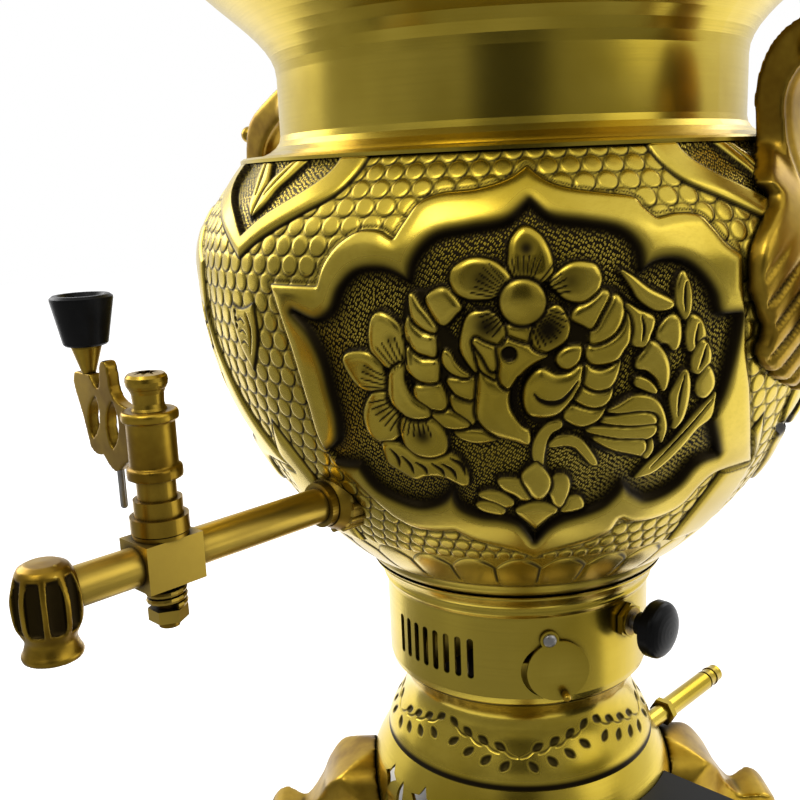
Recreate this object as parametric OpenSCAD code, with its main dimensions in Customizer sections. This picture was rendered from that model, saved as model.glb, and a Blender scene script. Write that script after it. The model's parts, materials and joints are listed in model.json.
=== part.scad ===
// Gas-fired brass samovar, standing on four cast feet.
// Millimetres, +Z up. The origin is on the table, under the urn's axis; the tap points to -Y.

/* [Base] */
// Height of the base shell's lower edge above the table
base_clear = 14; // [10:1:18]
// Outer radius of the base shell
base_r = 66.8; // [64:0.2:70]
// Height of the base shell's top groove above the feet's flanges
base_over_feet = 11; // [9:0.5:15]
// Height of the rounded shoulder at the top of the base shell
shoulder_h = 20; // [16:1:22]
// Radius of the groove between the base shell and the pedestal
groove_r = 58.6; // [57:0.2:60]
// Height of the waisted pedestal
pedestal_h = 35; // [30:1:40]
// Smallest radius of the pedestal
waist_r = 49; // [48.5:0.5:52]
// Thickness of the spun brass sheet
sheet = 1.5; // [1.2:0.1:1.8]
// Height of the largest air hole in the base shell
air_hole_h = 15; // [10:0.5:17]

/* [Feet] */
// Height of a foot's flange on the base shell
foot_h = 47; // [42:0.5:56]
// How far a foot reaches out from the base shell
foot_reach = 50; // [42:1:60]
// Half width of a foot at the base shell
foot_half_w = 23; // [18:1:26]
// Radius of the screws that hold the feet and the handles
screw_r = 2.5; // [2:0.25:3]

/* [Burner band] */
// Outer radius of the burner band
band_r = 56; // [55.5:0.5:58]
// Height of the burner band below its collar
band_h = 40; // [36:1:46]
// Height of the collar that flares out under the urn
collar_h = 9; // [7:0.5:11]
// Number of air slots in the burner band
slot_count = 8; // [4:1:10]
// Width of one air slot
slot_w = 2.8; // [2:0.1:3.4]
// Height of one air slot
slot_h = 17; // [12:0.5:20]
// Radius of the lighting hole
light_r = 11; // [9:0.5:12]
// Radius of the disc that covers the lighting hole
cover_r = 12.4; // [12.2:0.1:13]
// Distance from the cover's rivet to the middle of its disc
cover_drop = 13.5; // [13.2:0.1:14.5]
// Thickness of the cover
cover_t = 1; // [0.8:0.1:1.2]

/* [Gas] */
// Radius of the gas knob
knob_r = 11.4; // [9:0.2:13]
// Thickness of the gas knob's domed head
knob_t = 9; // [7:0.5:11]
// Height of the gas valve's axis above the band's lower edge
valve_up = 28.5; // [26:0.5:30]
// Radius of the gas valve's spindle
spindle_r = 3; // [2.5:0.25:3.5]
// Outer radius of the hose nipple
nipple_r = 4.5; // [4:0.25:5]
// How far the hose nipple stands out behind the base
nipple_len = 48; // [40:1:60]
// Outer radius of the burner
burner_r = 22; // [18:1:24]

/* [Igniter] */
// Width of the igniter box
igniter_w = 42; // [34:1:48]
// Height of the igniter box
igniter_h = 24; // [20:1:27]
// Depth of the igniter box from the base shell's radius
igniter_d = 31; // [26:1:34]
// Radius of the push button
button_r = 6; // [4.5:0.5:7]
// Travel of the push button
button_travel = 4; // [3:0.5:5]

/* [Urn] */
// Widest radius of the urn
urn_r = 125; // [118:1:130]
// Radius of the lip at the urn's foot
urn_foot_r = 64.5; // [63.5:0.5:66]
// Height of the urn's foot lip
urn_foot_h = 6; // [5:0.5:8]
// Height from the foot lip to the widest place
belly_h = 118; // [112:1:124]
// Height from the widest place to the seam under the neck
crown_h = 40; // [36:1:44]
// Radius of the urn at the seam under the neck
seam_r = 105.3; // [102:0.5:107]
// Wall thickness of the urn
urn_wall = 1.6; // [1.4:0.1:2]
// Outer radius of the flue tube through the tank
flue_r = 27; // [25:0.5:28]
// Height that the flue stands above the lid's collar
flue_up = 8; // [6:0.5:9]

/* [Neck and lid] */
// Radius of the neck at its narrowest
neck_r = 90.5; // [88:0.5:92]
// Height of the neck's fillet above the seam
neck_fillet_h = 10; // [8:1:12]
// Height of the straight part of the neck
neck_straight_h = 22; // [18:1:26]
// Height of the neck's flare
flare_h = 50; // [44:1:54]
// Radius of the neck's rim
rim_r = 127.5; // [124:0.5:130]
// Radius of the rolled bead on the rim
bead_r = 3.6; // [3:0.2:4.5]
// Height of the domed lid above the rim
lid_h = 20; // [14:1:26]
// Radius of the lid's lifting knobs
lid_knob_r = 9; // [7:0.5:11]
// Distance of the lifting knobs from the axis
lid_knob_at = 78; // [70:1:88]

/* [Teapot crown] */
// Height of the crown
crown_top_h = 44; // [36:1:54]
// Radius of the crown's rim
crown_rim_r = 47; // [43:1:52]
// Number of arched openings round the crown
arch_count = 10; // [8:1:12]

/* [Handles] */
// Half width of a handle's leaf on the urn
leaf_half_w = 37; // [30:1:40]
// Thickness of a handle's leaf
leaf_t = 6; // [5:0.5:8]
// Width of a handle's scroll
scroll_w = 18; // [14:1:20]
// Radius of the ball on a handle's end
ball_r = 4.2; // [3.5:0.1:5]

/* [Tap] */
// Height of the tap's pipe above the urn's foot lip
pipe_up = 39.5; // [36:0.5:44]
// Distance of the tap's stem from the urn's axis
stem_y = 173.5; // [168:0.5:180]
// Outer radius of the tap's pipe
pipe_r = 6.15; // [5.5:0.05:6.5]
// Inner radius of the tap's pipe
pipe_bore_r = 4; // [3.5:0.1:4.4]
// Length of the pipe from the block to the spout
outlet_len = 18.5; // [16:0.5:26]
// Length of the tap's block along the pipe
block_l = 20; // [18:0.5:22]
// Width of the tap's block across the pipe
block_w = 15.4; // [15:0.2:20]
// Height of the tap's block
block_h = 15; // [14:0.2:18]
// Distance of the lever's knob from the stem
lever_reach = 34; // [32:0.5:38]
// Thickness of the lever's plate
lever_t = 4; // [3:0.25:5]
// Largest radius of the black lever knob
lever_knob_r = 9.8; // [8:0.2:11]
// Height of the black lever knob
lever_knob_h = 16; // [12:0.5:18]
// Length of the spout's fluted block
spout_l = 20; // [18:0.5:23]
// Radius of the spout's outlet
outlet_r = 5; // [4.5:0.1:5.5]

/* [Hidden] */

$fn = 96;
eps = 0.01;
// Clearance of a piece seated on a curved wall
seat = 0.25;
// Radial clearance of a running or threaded fit
fit = 0.05;
// Number of steps in a smooth curve
steps = 14;
// Steps between two points of a spline
span_steps = 3;

// Levels from the table up
groove_z = foot_h + base_over_feet;
band_z = groove_z + pedestal_h;
collar_z = band_z + band_h;
tank_z = collar_z + collar_h;
foot_lip_z = tank_z + urn_foot_h;
belly_z = foot_lip_z + belly_h;
seam_z = belly_z + crown_h;
neck_z = seam_z + neck_fillet_h;
flare_z = neck_z + neck_straight_h;
rim_z = flare_z + flare_h;
lid_z = rim_z + sheet;
lid_collar_h = 5;
lid_top_z = lid_z + lid_h + lid_collar_h;
flue_top_z = lid_top_z + flue_up;

// Colours of the finishes
brass = [0.72, 0.58, 0.20];
bronze = [0.52, 0.39, 0.16];
black = [0.05, 0.05, 0.05];
steel = [0.65, 0.65, 0.66];
iron = [0.28, 0.27, 0.26];
rubber = [0.12, 0.12, 0.12];
ceramic = [0.92, 0.90, 0.86];

// ---- Curves ----

function pick(p, i) = p[max(0, min(len(p) - 1, i))];

// One point of a Catmull-Rom curve, between points i and i + 1
function spline_at(p, i, t) =
    let (a = pick(p, i - 1), b = pick(p, i), c = pick(p, i + 1), d = pick(p, i + 2))
    0.5 * (2 * b + (c - a) * t + (2 * a - 5 * b + 4 * c - d) * t * t
        + (3 * b - a - 3 * c + d) * t * t * t);

// A smooth curve through the points p
function spline(p, n = span_steps) = concat(
    [for (i = [0:len(p) - 2], k = [0:n - 1]) spline_at(p, i, k / n)],
    [p[len(p) - 1]]);

function reversed(p) = [for (i = [len(p) - 1:-1:0]) p[i]];
function mirrored(p) = [for (q = p) [-q[0], q[1]]];

// The unit normal to the left of a curve, which is the inside of a wall drawn upwards
function normal(p, i) =
    let (d = pick(p, i + 1) - pick(p, i - 1))
    [-d[1], d[0]] / norm([d[0], d[1]]);

// A curve moved to its left by t
function inset(p, t) = [for (i = [0:len(p) - 1]) [p[i][0], p[i][1]] + t * normal(p, i)];

// The inner line of a wall whose two ends are cut level
function level_inset(p, t) = [for (i = [0:len(p) - 1])
    i == 0 || i == len(p) - 1 ? p[i] - [t, 0] : p[i] + t * normal(p, i)];

// The closed outline of a wall of thickness t along a curve
function wall(p, t) = concat(p, reversed(level_inset(p, t)));

// The closed outline of a band along points [x, y, half width]
function ribbon(p) = concat(
    [for (i = [0:len(p) - 1]) [p[i][0], p[i][1]] + p[i][2] * normal(p, i)],
    reversed([for (i = [0:len(p) - 1]) [p[i][0], p[i][1]] - p[i][2] * normal(p, i)]));

// ---- Turned outlines, as [radius, height] ----

function shell_r_at(z) =
    let (t = max(0, (z - groove_z + shoulder_h) / shoulder_h))
    groove_r + (base_r - groove_r) * cos(90 * min(1, t));
shell_foot_bead = 2;
shell_curve = concat(
    spline([
        [base_r + shell_foot_bead * 0.7, base_clear],
        [base_r + shell_foot_bead, base_clear + shell_foot_bead],
        [base_r + shell_foot_bead * 0.6, base_clear + 2 * shell_foot_bead],
        [base_r, base_clear + 3 * shell_foot_bead]]),
    [for (i = [0:steps]) let (z = groove_z - shoulder_h * (1 - i / steps)) [shell_r_at(z), z]]);

pedestal_waist_h = 25 * pedestal_h / 35;
band_foot_r = band_r - 2;
band_seat_r = waist_r - sheet - 0.3;
function pedestal_r_at(h) = h < pedestal_waist_h
    ? waist_r + (groove_r - waist_r) * (1 + cos(180 * h / pedestal_waist_h)) / 2
    : waist_r + (band_foot_r - waist_r)
        * (1 - cos(90 * (h - pedestal_waist_h) / (pedestal_h - pedestal_waist_h)));
pedestal_curve = [for (i = [0:steps])
    let (h = pedestal_h * i / steps) [pedestal_r_at(h), groove_z + h]];

collar_r = urn_foot_r - 2.4;
band_curve = concat(
    [[band_foot_r, band_z], [band_r - 0.6, band_z + 1.5], [band_r, band_z + 4]],
    [[band_r, collar_z - 3]],
    spline([
        [band_r + 0.2, collar_z - 2],
        [band_r + 1.6, collar_z],
        [band_r + 1.4, collar_z + 2],
        [band_r + 2.6, collar_z + 0.5 * collar_h],
        [collar_r, tank_z]]));

function urn_r_at(z) = z < belly_z
    ? urn_foot_r + (urn_r - urn_foot_r) * sin(90 * pow((z - foot_lip_z) / belly_h, 0.8))
    : seam_r + (urn_r - seam_r) * cos(90 * pow((z - belly_z) / crown_h, 1.15));
urn_curve = concat(
    [for (i = [0:steps + 6]) let (z = foot_lip_z + belly_h * i / (steps + 6)) [urn_r_at(z), z]],
    [for (i = [1:steps - 4]) let (z = belly_z + crown_h * i / (steps - 4)) [urn_r_at(z), z]]);
urn_foot_in = 4;
tank_foot_r = urn_foot_r - urn_foot_in;

neck_curve = concat(
    [for (i = [0:6]) [
        neck_r + (seam_r - neck_r) * (1 - sin(15 * i)),
        seam_z + sheet + (neck_fillet_h - sheet) * (1 - cos(15 * i))]],
    [for (i = [0:steps]) [
        neck_r + (rim_r - neck_r) * (1 - cos(180 * i / steps)) / 2,
        flare_z + (flare_h - 1) * i / steps]],
    [[rim_r, rim_z]]);

// The solid inside a turned outline, grown outwards by g
module turned_core(curve, g) {
    grown = inset(curve, -g);
    rotate_extrude()
        polygon(concat([[0, grown[0][1]]], grown, [[0, grown[len(grown) - 1][1]]]));
}

module turned_wall(curve, t) {
    rotate_extrude()
        polygon(wall(curve, t));
}

// A ring with a square section
module ring(r_out, r_in, h) {
    difference() {
        cylinder(r = r_out, h = h);
        translate([0, 0, -1])
            cylinder(r = r_in, h = h + 2);
    }
}

// A cylinder laid along +X from x0 to x1
module bar_x(r, x0, x1) {
    translate([x0, 0, 0])
        rotate([0, 90, 0])
            cylinder(r = r, h = x1 - x0);
}

// A domed head along +Z, with base radius r and height h
module dome(r, h) {
    rotate_extrude()
        polygon(concat([[0, 0]], [for (i = [0:8]) [r * cos(11.25 * i), h * sin(11.25 * i)]]));
}

// A hexagon head or nut along +Z, by its half width across the flats
module hexagon(flat_r, h) {
    cylinder(r = flat_r / cos(30), h = h, $fn = 6);
}

// A wire wound round the Z axis from z = 0 up to height h
module coil(coil_r, wire_r, h, turns, sides = 8, per_turn = 18) {
    n = round(turns * per_turn);
    function wire_at(i, k) =
        let (a = 360 * i / per_turn, b = 360 * k / sides, rr = coil_r + wire_r * cos(b))
        [rr * cos(a), rr * sin(a), wire_r + (h - 2 * wire_r) * i / n + wire_r * sin(b)];
    polyhedron(
        points = [for (i = [0:n], k = [0:sides - 1]) wire_at(i, k)],
        faces = concat(
            [[for (k = [sides - 1:-1:0]) k]],
            [for (i = [0:n - 1], k = [0:sides - 1]) [
                i * sides + k,
                i * sides + (k + 1) % sides,
                (i + 1) * sides + (k + 1) % sides,
                (i + 1) * sides + k]],
            [[for (k = [0:sides - 1]) n * sides + k]]));
}

// ---- Feet ----

leg_angles = [-45, -135, 135, 45];
leg_screw_z = [base_clear + 8, base_clear + 20];
leg_screw_grip = 9;
leg_sole_w = 14;
screw_head_r = screw_r * 1.8;
screw_head_h = screw_r * 1.3;

// Side view of a foot, as [distance from the axis, height]
leg_side = concat(
    [[base_r - 12, foot_h + 1]],
    spline([
        [base_r, foot_h], [base_r + 0.16 * foot_reach, foot_h - 2.5],
        [base_r + 0.32 * foot_reach, foot_h * 0.85], [base_r + 0.42 * foot_reach, foot_h * 0.73],
        [base_r + 0.47 * foot_reach, foot_h * 0.62], [base_r + 0.54 * foot_reach, foot_h * 0.51],
        [base_r + 0.61 * foot_reach, foot_h * 0.42], [base_r + 0.67 * foot_reach, foot_h * 0.38],
        [base_r + 0.75 * foot_reach, foot_h * 0.41], [base_r + 0.85 * foot_reach, foot_h * 0.43],
        [base_r + 0.95 * foot_reach, foot_h * 0.37], [base_r + foot_reach, foot_h * 0.24],
        [base_r + 0.98 * foot_reach, foot_h * 0.1]]),
    [[base_r + 0.92 * foot_reach, 0], [base_r + 0.92 * foot_reach - leg_sole_w, 0]],
    spline([
        [base_r + 0.92 * foot_reach - leg_sole_w - 4, 4.5],
        [base_r + 0.42 * foot_reach, 12],
        [base_r + 0.24 * foot_reach, base_clear + 2],
        [base_r - 4, base_clear + 4]]),
    [[base_r - 12, base_clear + 4]]);

// Half of a foot's plan, as [distance from the axis, half width]
leg_plan = spline([
    [base_r - 12, foot_half_w], [base_r + 2, foot_half_w * 0.98],
    [base_r + 0.2 * foot_reach, foot_half_w * 0.86],
    [base_r + 0.36 * foot_reach, foot_half_w * 0.66],
    [base_r + 0.48 * foot_reach, foot_half_w * 0.46],
    [base_r + 0.6 * foot_reach, foot_half_w * 0.36],
    [base_r + 0.7 * foot_reach, foot_half_w * 0.4],
    [base_r + 0.84 * foot_reach, foot_half_w * 0.52],
    [base_r + 0.95 * foot_reach, foot_half_w * 0.44],
    [base_r + foot_reach, foot_half_w * 0.2]]);

// Half of a foot's front view, as [half width, height]
leg_front = spline([
    [foot_half_w, 0], [foot_half_w, foot_h * 0.5], [foot_half_w * 0.94, foot_h * 0.7],
    [foot_half_w * 0.72, foot_h * 0.88], [foot_half_w * 0.36, foot_h * 0.98],
    [0, foot_h + 1.5]]);

module leg(angle) {
    color(bronze)
        rotate([0, 0, angle])
            difference() {
                intersection() {
                    rotate([90, 0, 0])
                        linear_extrude(height = 2 * foot_half_w, center = true)
                            polygon(leg_side);
                    linear_extrude(height = foot_h + 2)
                        polygon(concat(leg_plan, reversed([for (q = leg_plan) [q[0], -q[1]]])));
                    rotate([90, 0, 90])
                        linear_extrude(height = base_r + foot_reach + 5)
                            polygon(concat(leg_front, reversed(mirrored(leg_front))));
                }
                turned_core(shell_curve, seat);
                for (z = leg_screw_z)
                    translate([0, 0, z])
                        bar_x(screw_r + fit, base_r - 5, base_r + leg_screw_grip + 0.5);
            }
}
module leg_front_right() leg(leg_angles[0]);
module leg_front_left() leg(leg_angles[1]);
module leg_rear_left() leg(leg_angles[2]);
module leg_rear_right() leg(leg_angles[3]);

// Where a flat head comes to rest inside a round wall of radius r_in
function head_seat(r_in) = sqrt(r_in * r_in - pow(screw_head_r / cos(30), 2)) - 0.05;

// A screw along +X, with its hexagon head at x0 and its tip at x1
module wall_screw(x0, x1) {
    union() {
        bar_x(screw_r, x0 - eps, x1);
        translate([x0 - screw_head_h, 0, 0])
            rotate([0, 90, 0])
                hexagon(screw_head_r, screw_head_h);
    }
}

module leg_screws() {
    color(steel)
        for (a = leg_angles, z = leg_screw_z)
            rotate([0, 0, a])
                translate([0, 0, z])
                    wall_screw(head_seat(base_r - sheet), base_r + leg_screw_grip);
}

// ---- Base shell ----

air_z = base_clear + 32;
star_r = air_hole_h * 0.46;
oval_w = air_hole_h * 0.27;
air_pitch = 11.5;
air_turns = [-90, 90];

module star(r_out, points) {
    polygon([for (i = [0:2 * points - 1])
        let (r = i % 2 == 0 ? r_out : r_out * 0.52, a = 90 + 180 * i / points)
        [r * cos(a), r * sin(a)]]);
}

// A pointed oval, as two circles crossing
module leaf_oval(w, h) {
    big_r = (w * w + h * h) / (4 * w);
    intersection_for (s = [-1, 1])
        translate([s * (big_r - w / 2), 0])
            circle(r = big_r);
}

// Cuts a flat shape through a wall at the given turn about Z and height
module cut_out(turn, z, r_in, depth) {
    rotate([0, 0, turn])
        translate([r_in, 0, z])
            rotate([90, 0, 90])
                linear_extrude(height = depth)
                    children();
}

module air_holes() {
    for (a = air_turns) {
        cut_out(a, air_z, base_r - 12, 20)
            star(star_r, 5);
        for (s = [-1, 1]) {
            cut_out(a + s * air_pitch, air_z - 3, base_r - 12, 20)
                leaf_oval(oval_w, air_hole_h * 0.93);
            cut_out(a + 1.75 * s * air_pitch, air_z + 2, base_r - 12, 20)
                star(star_r * 0.72, 4);
            cut_out(a + 1.75 * s * air_pitch, air_z - 9.5, base_r - 12, 20)
                leaf_oval(oval_w * 0.8, air_hole_h * 0.6);
        }
    }
}

shell_flange_r = groove_r - 8;
module base_shell() {
    color(brass)
        difference() {
            union() {
                turned_wall(shell_curve, sheet);
                translate([0, 0, groove_z - sheet])
                    ring(groove_r, shell_flange_r, sheet);
            }
            air_holes();
            for (a = leg_angles, z = leg_screw_z)
                rotate([0, 0, a])
                    translate([0, 0, z])
                        bar_x(screw_r + fit, base_r - 12, base_r + 5);
            translate([nipple_x, 0, nipple_z])
                rotate([-90, 0, 0])
                    cylinder(r = nipple_thread_r + fit, h = 2 * base_r);
            for (s = [-1, 1])
                translate([0, s * igniter_screw_y, igniter_z])
                    bar_x(igniter_screw_r + fit, base_r / 2, base_r + 5);
            translate([0, 0, igniter_lead_z])
                bar_x(igniter_lead_r, base_r / 2, base_r + 5);
        }
}

// ---- Pedestal ----

module pedestal() {
    color(brass)
        union() {
            turned_wall(pedestal_curve, sheet);
            translate([0, 0, groove_z])
                ring(groove_r - sheet / 2, shell_flange_r, sheet);
            translate([0, 0, band_z - sheet])
                ring(band_foot_r - sheet / 2, band_seat_r, sheet);
        }
}

// ---- Burner band, lighting hole and cover ----

slot_pitch = 5.5;
slot_z = band_z + 19.5;
slot_turn = -90;
light_turn = -38.8;
light_z = band_z + 15.5;
rivet_z = light_z + cover_drop;
rivet_r = 1.5;
cover_out = 0.4;
cover_tilt = 14;
band_flange_r = 46;

module slots() {
    for (i = [0:slot_count - 1])
        cut_out(slot_turn + (i - (slot_count - 1) / 2) * slot_pitch, slot_z, band_r - 6, 12)
            union() {
                square([slot_w, slot_h - slot_w], center = true);
                for (s = [-1, 1])
                    translate([0, s * (slot_h - slot_w) / 2])
                        circle(d = slot_w);
            }
}

module burner_band() {
    color(brass)
        difference() {
            union() {
                turned_wall(band_curve, sheet);
                translate([0, 0, tank_z - sheet])
                    ring(collar_r - sheet / 2, band_flange_r, sheet);
                translate([0, 0, band_z])
                    ring(band_foot_r - sheet / 2, band_seat_r, sheet);
            }
            slots();
            rotate([0, 0, light_turn]) {
                translate([0, 0, light_z])
                    bar_x(light_r, band_r - 8, band_r + 8);
                translate([0, 0, rivet_z])
                    bar_x(rivet_r + fit, band_r - 8, band_r + 8);
            }
            translate([0, 0, valve_z])
                bar_x(valve_nose_r + fit, band_r - 8, band_r + 8);
        }
}

cover_x = band_r + cover_out;
module ignition_cover() {
    color(brass)
        rotate([0, 0, light_turn])
            translate([cover_x, 0, rivet_z])
                rotate([cover_tilt, 0, 0])
                    difference() {
                        union() {
                            translate([0, 0, -cover_drop])
                                bar_x(cover_r, 0, cover_t);
                            bar_x(rivet_r + 2.2, 0, cover_t);
                        }
                        bar_x(rivet_r + fit, -1, cover_t + 1);
                        translate([0, 0, -cover_drop - cover_r + 2.4])
                            bar_x(pull_r + fit, -1, cover_t + 1);
                    }
}

pull_r = 1;
module cover_pull() {
    color(bronze)
        rotate([0, 0, light_turn])
            translate([cover_x, 0, rivet_z])
                rotate([cover_tilt, 0, 0])
                    translate([0, 0, -cover_drop - cover_r + 2.4])
                        union() {
                            bar_x(pull_r, 0, cover_t + eps);
                            bar_x(pull_r * 1.6, cover_t, cover_t + 3.4);
                            translate([cover_t + 3.4, 0, 0])
                                sphere(r = pull_r * 1.6);
                        }
}

module cover_rivet() {
    color(steel)
        rotate([0, 0, light_turn])
            translate([0, 0, rivet_z])
                union() {
                    bar_x(rivet_r, band_r - sheet - 1, cover_x + cover_t + 0.3);
                    bar_x(rivet_r * 1.6, band_r - sheet - 2, band_r - sheet - 0.3);
                    translate([cover_x + cover_t + 0.1, 0, 0])
                        rotate([0, 90, 0])
                            dome(rivet_r * 1.8, rivet_r * 0.9);
                }
}

// ---- Gas control ----

valve_z = band_z + valve_up;
valve_nose_r = 5.5;
valve_body_r = 8;
valve_in_x = band_r - 18;
collar_nut_t = 3;
collar_nut_r = 7.5;
knob_boss_r = 4.6;
knob_x = band_r + 6;
knob_boss_l = 5.5;
riser_x = 43;
riser_r = 3;
riser_bore_r = 2;

// The knob: a boss on the spindle and a domed black head
module gas_knob() {
    head_x = knob_x + knob_boss_l;
    color(black)
        translate([0, 0, valve_z])
            difference() {
                union() {
                    bar_x(knob_boss_r, knob_x, head_x + 1);
                    bar_x(knob_r * 0.94, head_x, head_x + 0.45 * knob_t);
                    translate([head_x + 0.12 * knob_t, 0, 0])
                        bar_x(knob_r, 0, 0.33 * knob_t);
                    translate([head_x + 0.45 * knob_t, 0, 0])
                        rotate([0, 90, 0])
                            dome(knob_r, 0.55 * knob_t);
                }
                bar_x(spindle_r + fit / 2, knob_x - 1, knob_x + knob_boss_l + 2);
            }
}

spindle_in_x = band_r - 12;
module gas_spindle() {
    color(steel)
        translate([0, 0, valve_z])
            bar_x(spindle_r, spindle_in_x, knob_x + knob_boss_l + 2);
}

module gas_collar_nut() {
    color(brass)
        translate([band_r + seat, 0, valve_z])
            rotate([0, 90, 0])
                difference() {
                    union() {
                        hexagon(collar_nut_r * 0.87, collar_nut_t * 0.7);
                        cylinder(r = collar_nut_r * 0.8, h = collar_nut_t);
                    }
                    translate([0, 0, -1])
                        cylinder(r = valve_nose_r + fit, h = collar_nut_t + 2);
                }
}

module gas_valve_body() {
    nose_x = band_r + collar_nut_t + seat;
    color(brass)
        difference() {
            union() {
                translate([0, 0, valve_z])
                    bar_x(valve_body_r, valve_in_x, band_r - sheet - 1.4);
                translate([0, 0, valve_z])
                    bar_x(valve_nose_r, band_r - sheet - 1.5, nose_x);
                translate([riser_x, 0, valve_z - valve_body_r - 4])
                    cylinder(r = riser_r + 2, h = valve_body_r);
            }
            translate([0, 0, valve_z])
                bar_x(spindle_r + fit, spindle_in_x - 1, nose_x + 1);
            translate([0, 0, valve_z])
                bar_x(jet_thread_r + fit, valve_in_x - 1, valve_in_x + 5);
            translate([0, 0, valve_z])
                bar_x(riser_bore_r, valve_in_x + 1, spindle_in_x);
            translate([riser_x, 0, valve_z - valve_body_r - 5])
                cylinder(r = riser_r + fit, h = 5);
            translate([riser_x, 0, valve_z - valve_body_r - 5])
                cylinder(r = riser_bore_r, h = valve_body_r + 5);
        }
}

jet_thread_r = 2.5;
jet_hole_r = 0.5;
module gas_jet() {
    color(brass)
        translate([valve_in_x, 0, valve_z])
            difference() {
                union() {
                    bar_x(jet_thread_r, -0.5, 4);
                    translate([-3, 0, 0])
                        rotate([0, 90, 0])
                            hexagon(3.2, 3);
                }
                bar_x(jet_hole_r, -4, 5);
            }
}

// ---- Gas feed ----

nipple_x = riser_x;
nipple_z = groove_z - 5;
nipple_thread_r = 4;
nipple_in_y = 34;
nipple_hex_y = 51.5;
nipple_hex_t = 3;
elbow_w = 11;
feed_r = 3;

module gas_riser() {
    color(brass)
        translate([riser_x, 0, 0])
            difference() {
                union() {
                    translate([0, 0, nipple_z])
                        cube([elbow_w, elbow_w, elbow_w], center = true);
                    translate([0, 0, nipple_z])
                        cylinder(r = riser_r, h = valve_z - valve_body_r - nipple_z);
                }
                translate([0, 0, nipple_z])
                    cylinder(r = riser_bore_r, h = valve_z);
                rotate([-90, 0, 0])
                    translate([0, -nipple_z, 0])
                        cylinder(r = riser_bore_r, h = elbow_w);
                rotate([-90, 0, 0])
                    translate([0, -nipple_z, elbow_w / 2 - 3])
                        cylinder(r = feed_r + fit, h = elbow_w);
            }
}

module gas_feed_pipe() {
    color(brass)
        translate([nipple_x, elbow_w / 2 - 3, nipple_z])
            rotate([-90, 0, 0])
                ring(feed_r, riser_bore_r, nipple_in_y - elbow_w / 2 + 3 + 4);
}

barb_r = 0.45;
barb_h = 4;
barb_pitch = 5.2;
module hose_nipple() {
    tip_y = nipple_hex_y + nipple_hex_t + nipple_len;
    smooth_y = tip_y - 2.4 * barb_pitch;
    core_r = nipple_r - barb_r;
    color(brass)
        translate([nipple_x, 0, nipple_z])
            rotate([-90, 0, 0])
                difference() {
                    union() {
                        translate([0, 0, nipple_in_y])
                            cylinder(r = nipple_thread_r, h = nipple_hex_y - nipple_in_y + 1);
                        translate([0, 0, nipple_hex_y])
                            hexagon(nipple_r + 0.9, nipple_hex_t);
                        translate([0, 0, nipple_hex_y])
                            cylinder(r = nipple_r, h = smooth_y - nipple_hex_y);
                        translate([0, 0, nipple_hex_y])
                            cylinder(r = core_r, h = tip_y - nipple_hex_y - 1);
                        for (i = [0:1])
                            translate([0, 0, smooth_y + barb_pitch - barb_h + i * barb_pitch])
                                cylinder(r1 = nipple_r, r2 = core_r - 0.1, h = barb_h);
                        translate([0, 0, tip_y - 1])
                            cylinder(r1 = core_r, r2 = core_r - 0.8, h = 1);
                    }
                    translate([0, 0, nipple_in_y - 1])
                        cylinder(r = riser_bore_r, h = tip_y);
                    translate([0, 0, nipple_in_y - 1])
                        cylinder(r = feed_r + fit, h = 5);
                }
}

// ---- Burner ----

burner_z = valve_z - 7;
burner_h = 14;
cap_h = 5;
venturi_r = 5.5;
venturi_in_x = valve_in_x - 7;
bracket_t = 2;
bracket_w = 16;
ear_r = 4.5;
ear_strap_w = 7;
ear_t = 2;
electrode_r = 2.5;
electrode_at = [burner_r + 6, 12];

module venturi_tube() {
    color(iron)
        translate([0, 0, valve_z])
            difference() {
                union() {
                    bar_x(venturi_r, burner_r - 3, venturi_in_x);
                    translate([venturi_in_x - 5, 0, 0])
                        rotate([0, 90, 0])
                            cylinder(r1 = venturi_r, r2 = venturi_r + 1.6, h = 5);
                }
                bar_x(venturi_r - 1.5, burner_r - 4, venturi_in_x + 1);
                translate([venturi_in_x - 5, 0, 0])
                    rotate([0, 90, 0])
                        cylinder(r1 = venturi_r - 1.5, r2 = venturi_r + 0.4, h = 5.01);
            }
}

// The burner's cup, with an ear that holds the spark electrode
module burner_head() {
    ear_turn = atan2(electrode_at[1], electrode_at[0]);
    color(iron)
        difference() {
            union() {
                translate([0, 0, burner_z])
                    cylinder(r = burner_r, h = burner_h);
                rotate([0, 0, ear_turn])
                    translate([burner_r - 2, -ear_strap_w / 2, burner_z])
                        cube([norm(electrode_at) - burner_r + 2, ear_strap_w, ear_t]);
                translate([electrode_at[0], electrode_at[1], burner_z])
                    cylinder(r = ear_r, h = ear_t);
            }
            translate([0, 0, burner_z + 2])
                cylinder(r = burner_r - 2.5, h = burner_h);
            translate([0, 0, valve_z])
                bar_x(venturi_r + fit, burner_r - 4, burner_r + 2);
            translate([electrode_at[0], electrode_at[1], burner_z - 1])
                cylinder(r = electrode_r + fit, h = ear_t + 2);
        }
}

port_count = 24;
module burner_cap() {
    cap_z = burner_z + burner_h;
    color(brass)
        difference() {
            union() {
                translate([0, 0, cap_z])
                    cylinder(r = burner_r, h = cap_h - 2);
                translate([0, 0, cap_z + cap_h - 2])
                    cylinder(r1 = burner_r, r2 = burner_r - 3, h = 2);
                translate([0, 0, cap_z - 1.2])
                    cylinder(r = burner_r - 2.5 - fit, h = 1.5);
            }
            translate([0, 0, cap_z - 3])
                cylinder(r = burner_r - 5, h = cap_h + 1);
            for (i = [0:port_count - 1])
                rotate([0, 0, (i + 0.5) * 360 / port_count])
                    translate([0, 0, cap_z + 1.5])
                        bar_x(0.8, burner_r - 6, burner_r + 1);
        }
}

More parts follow.
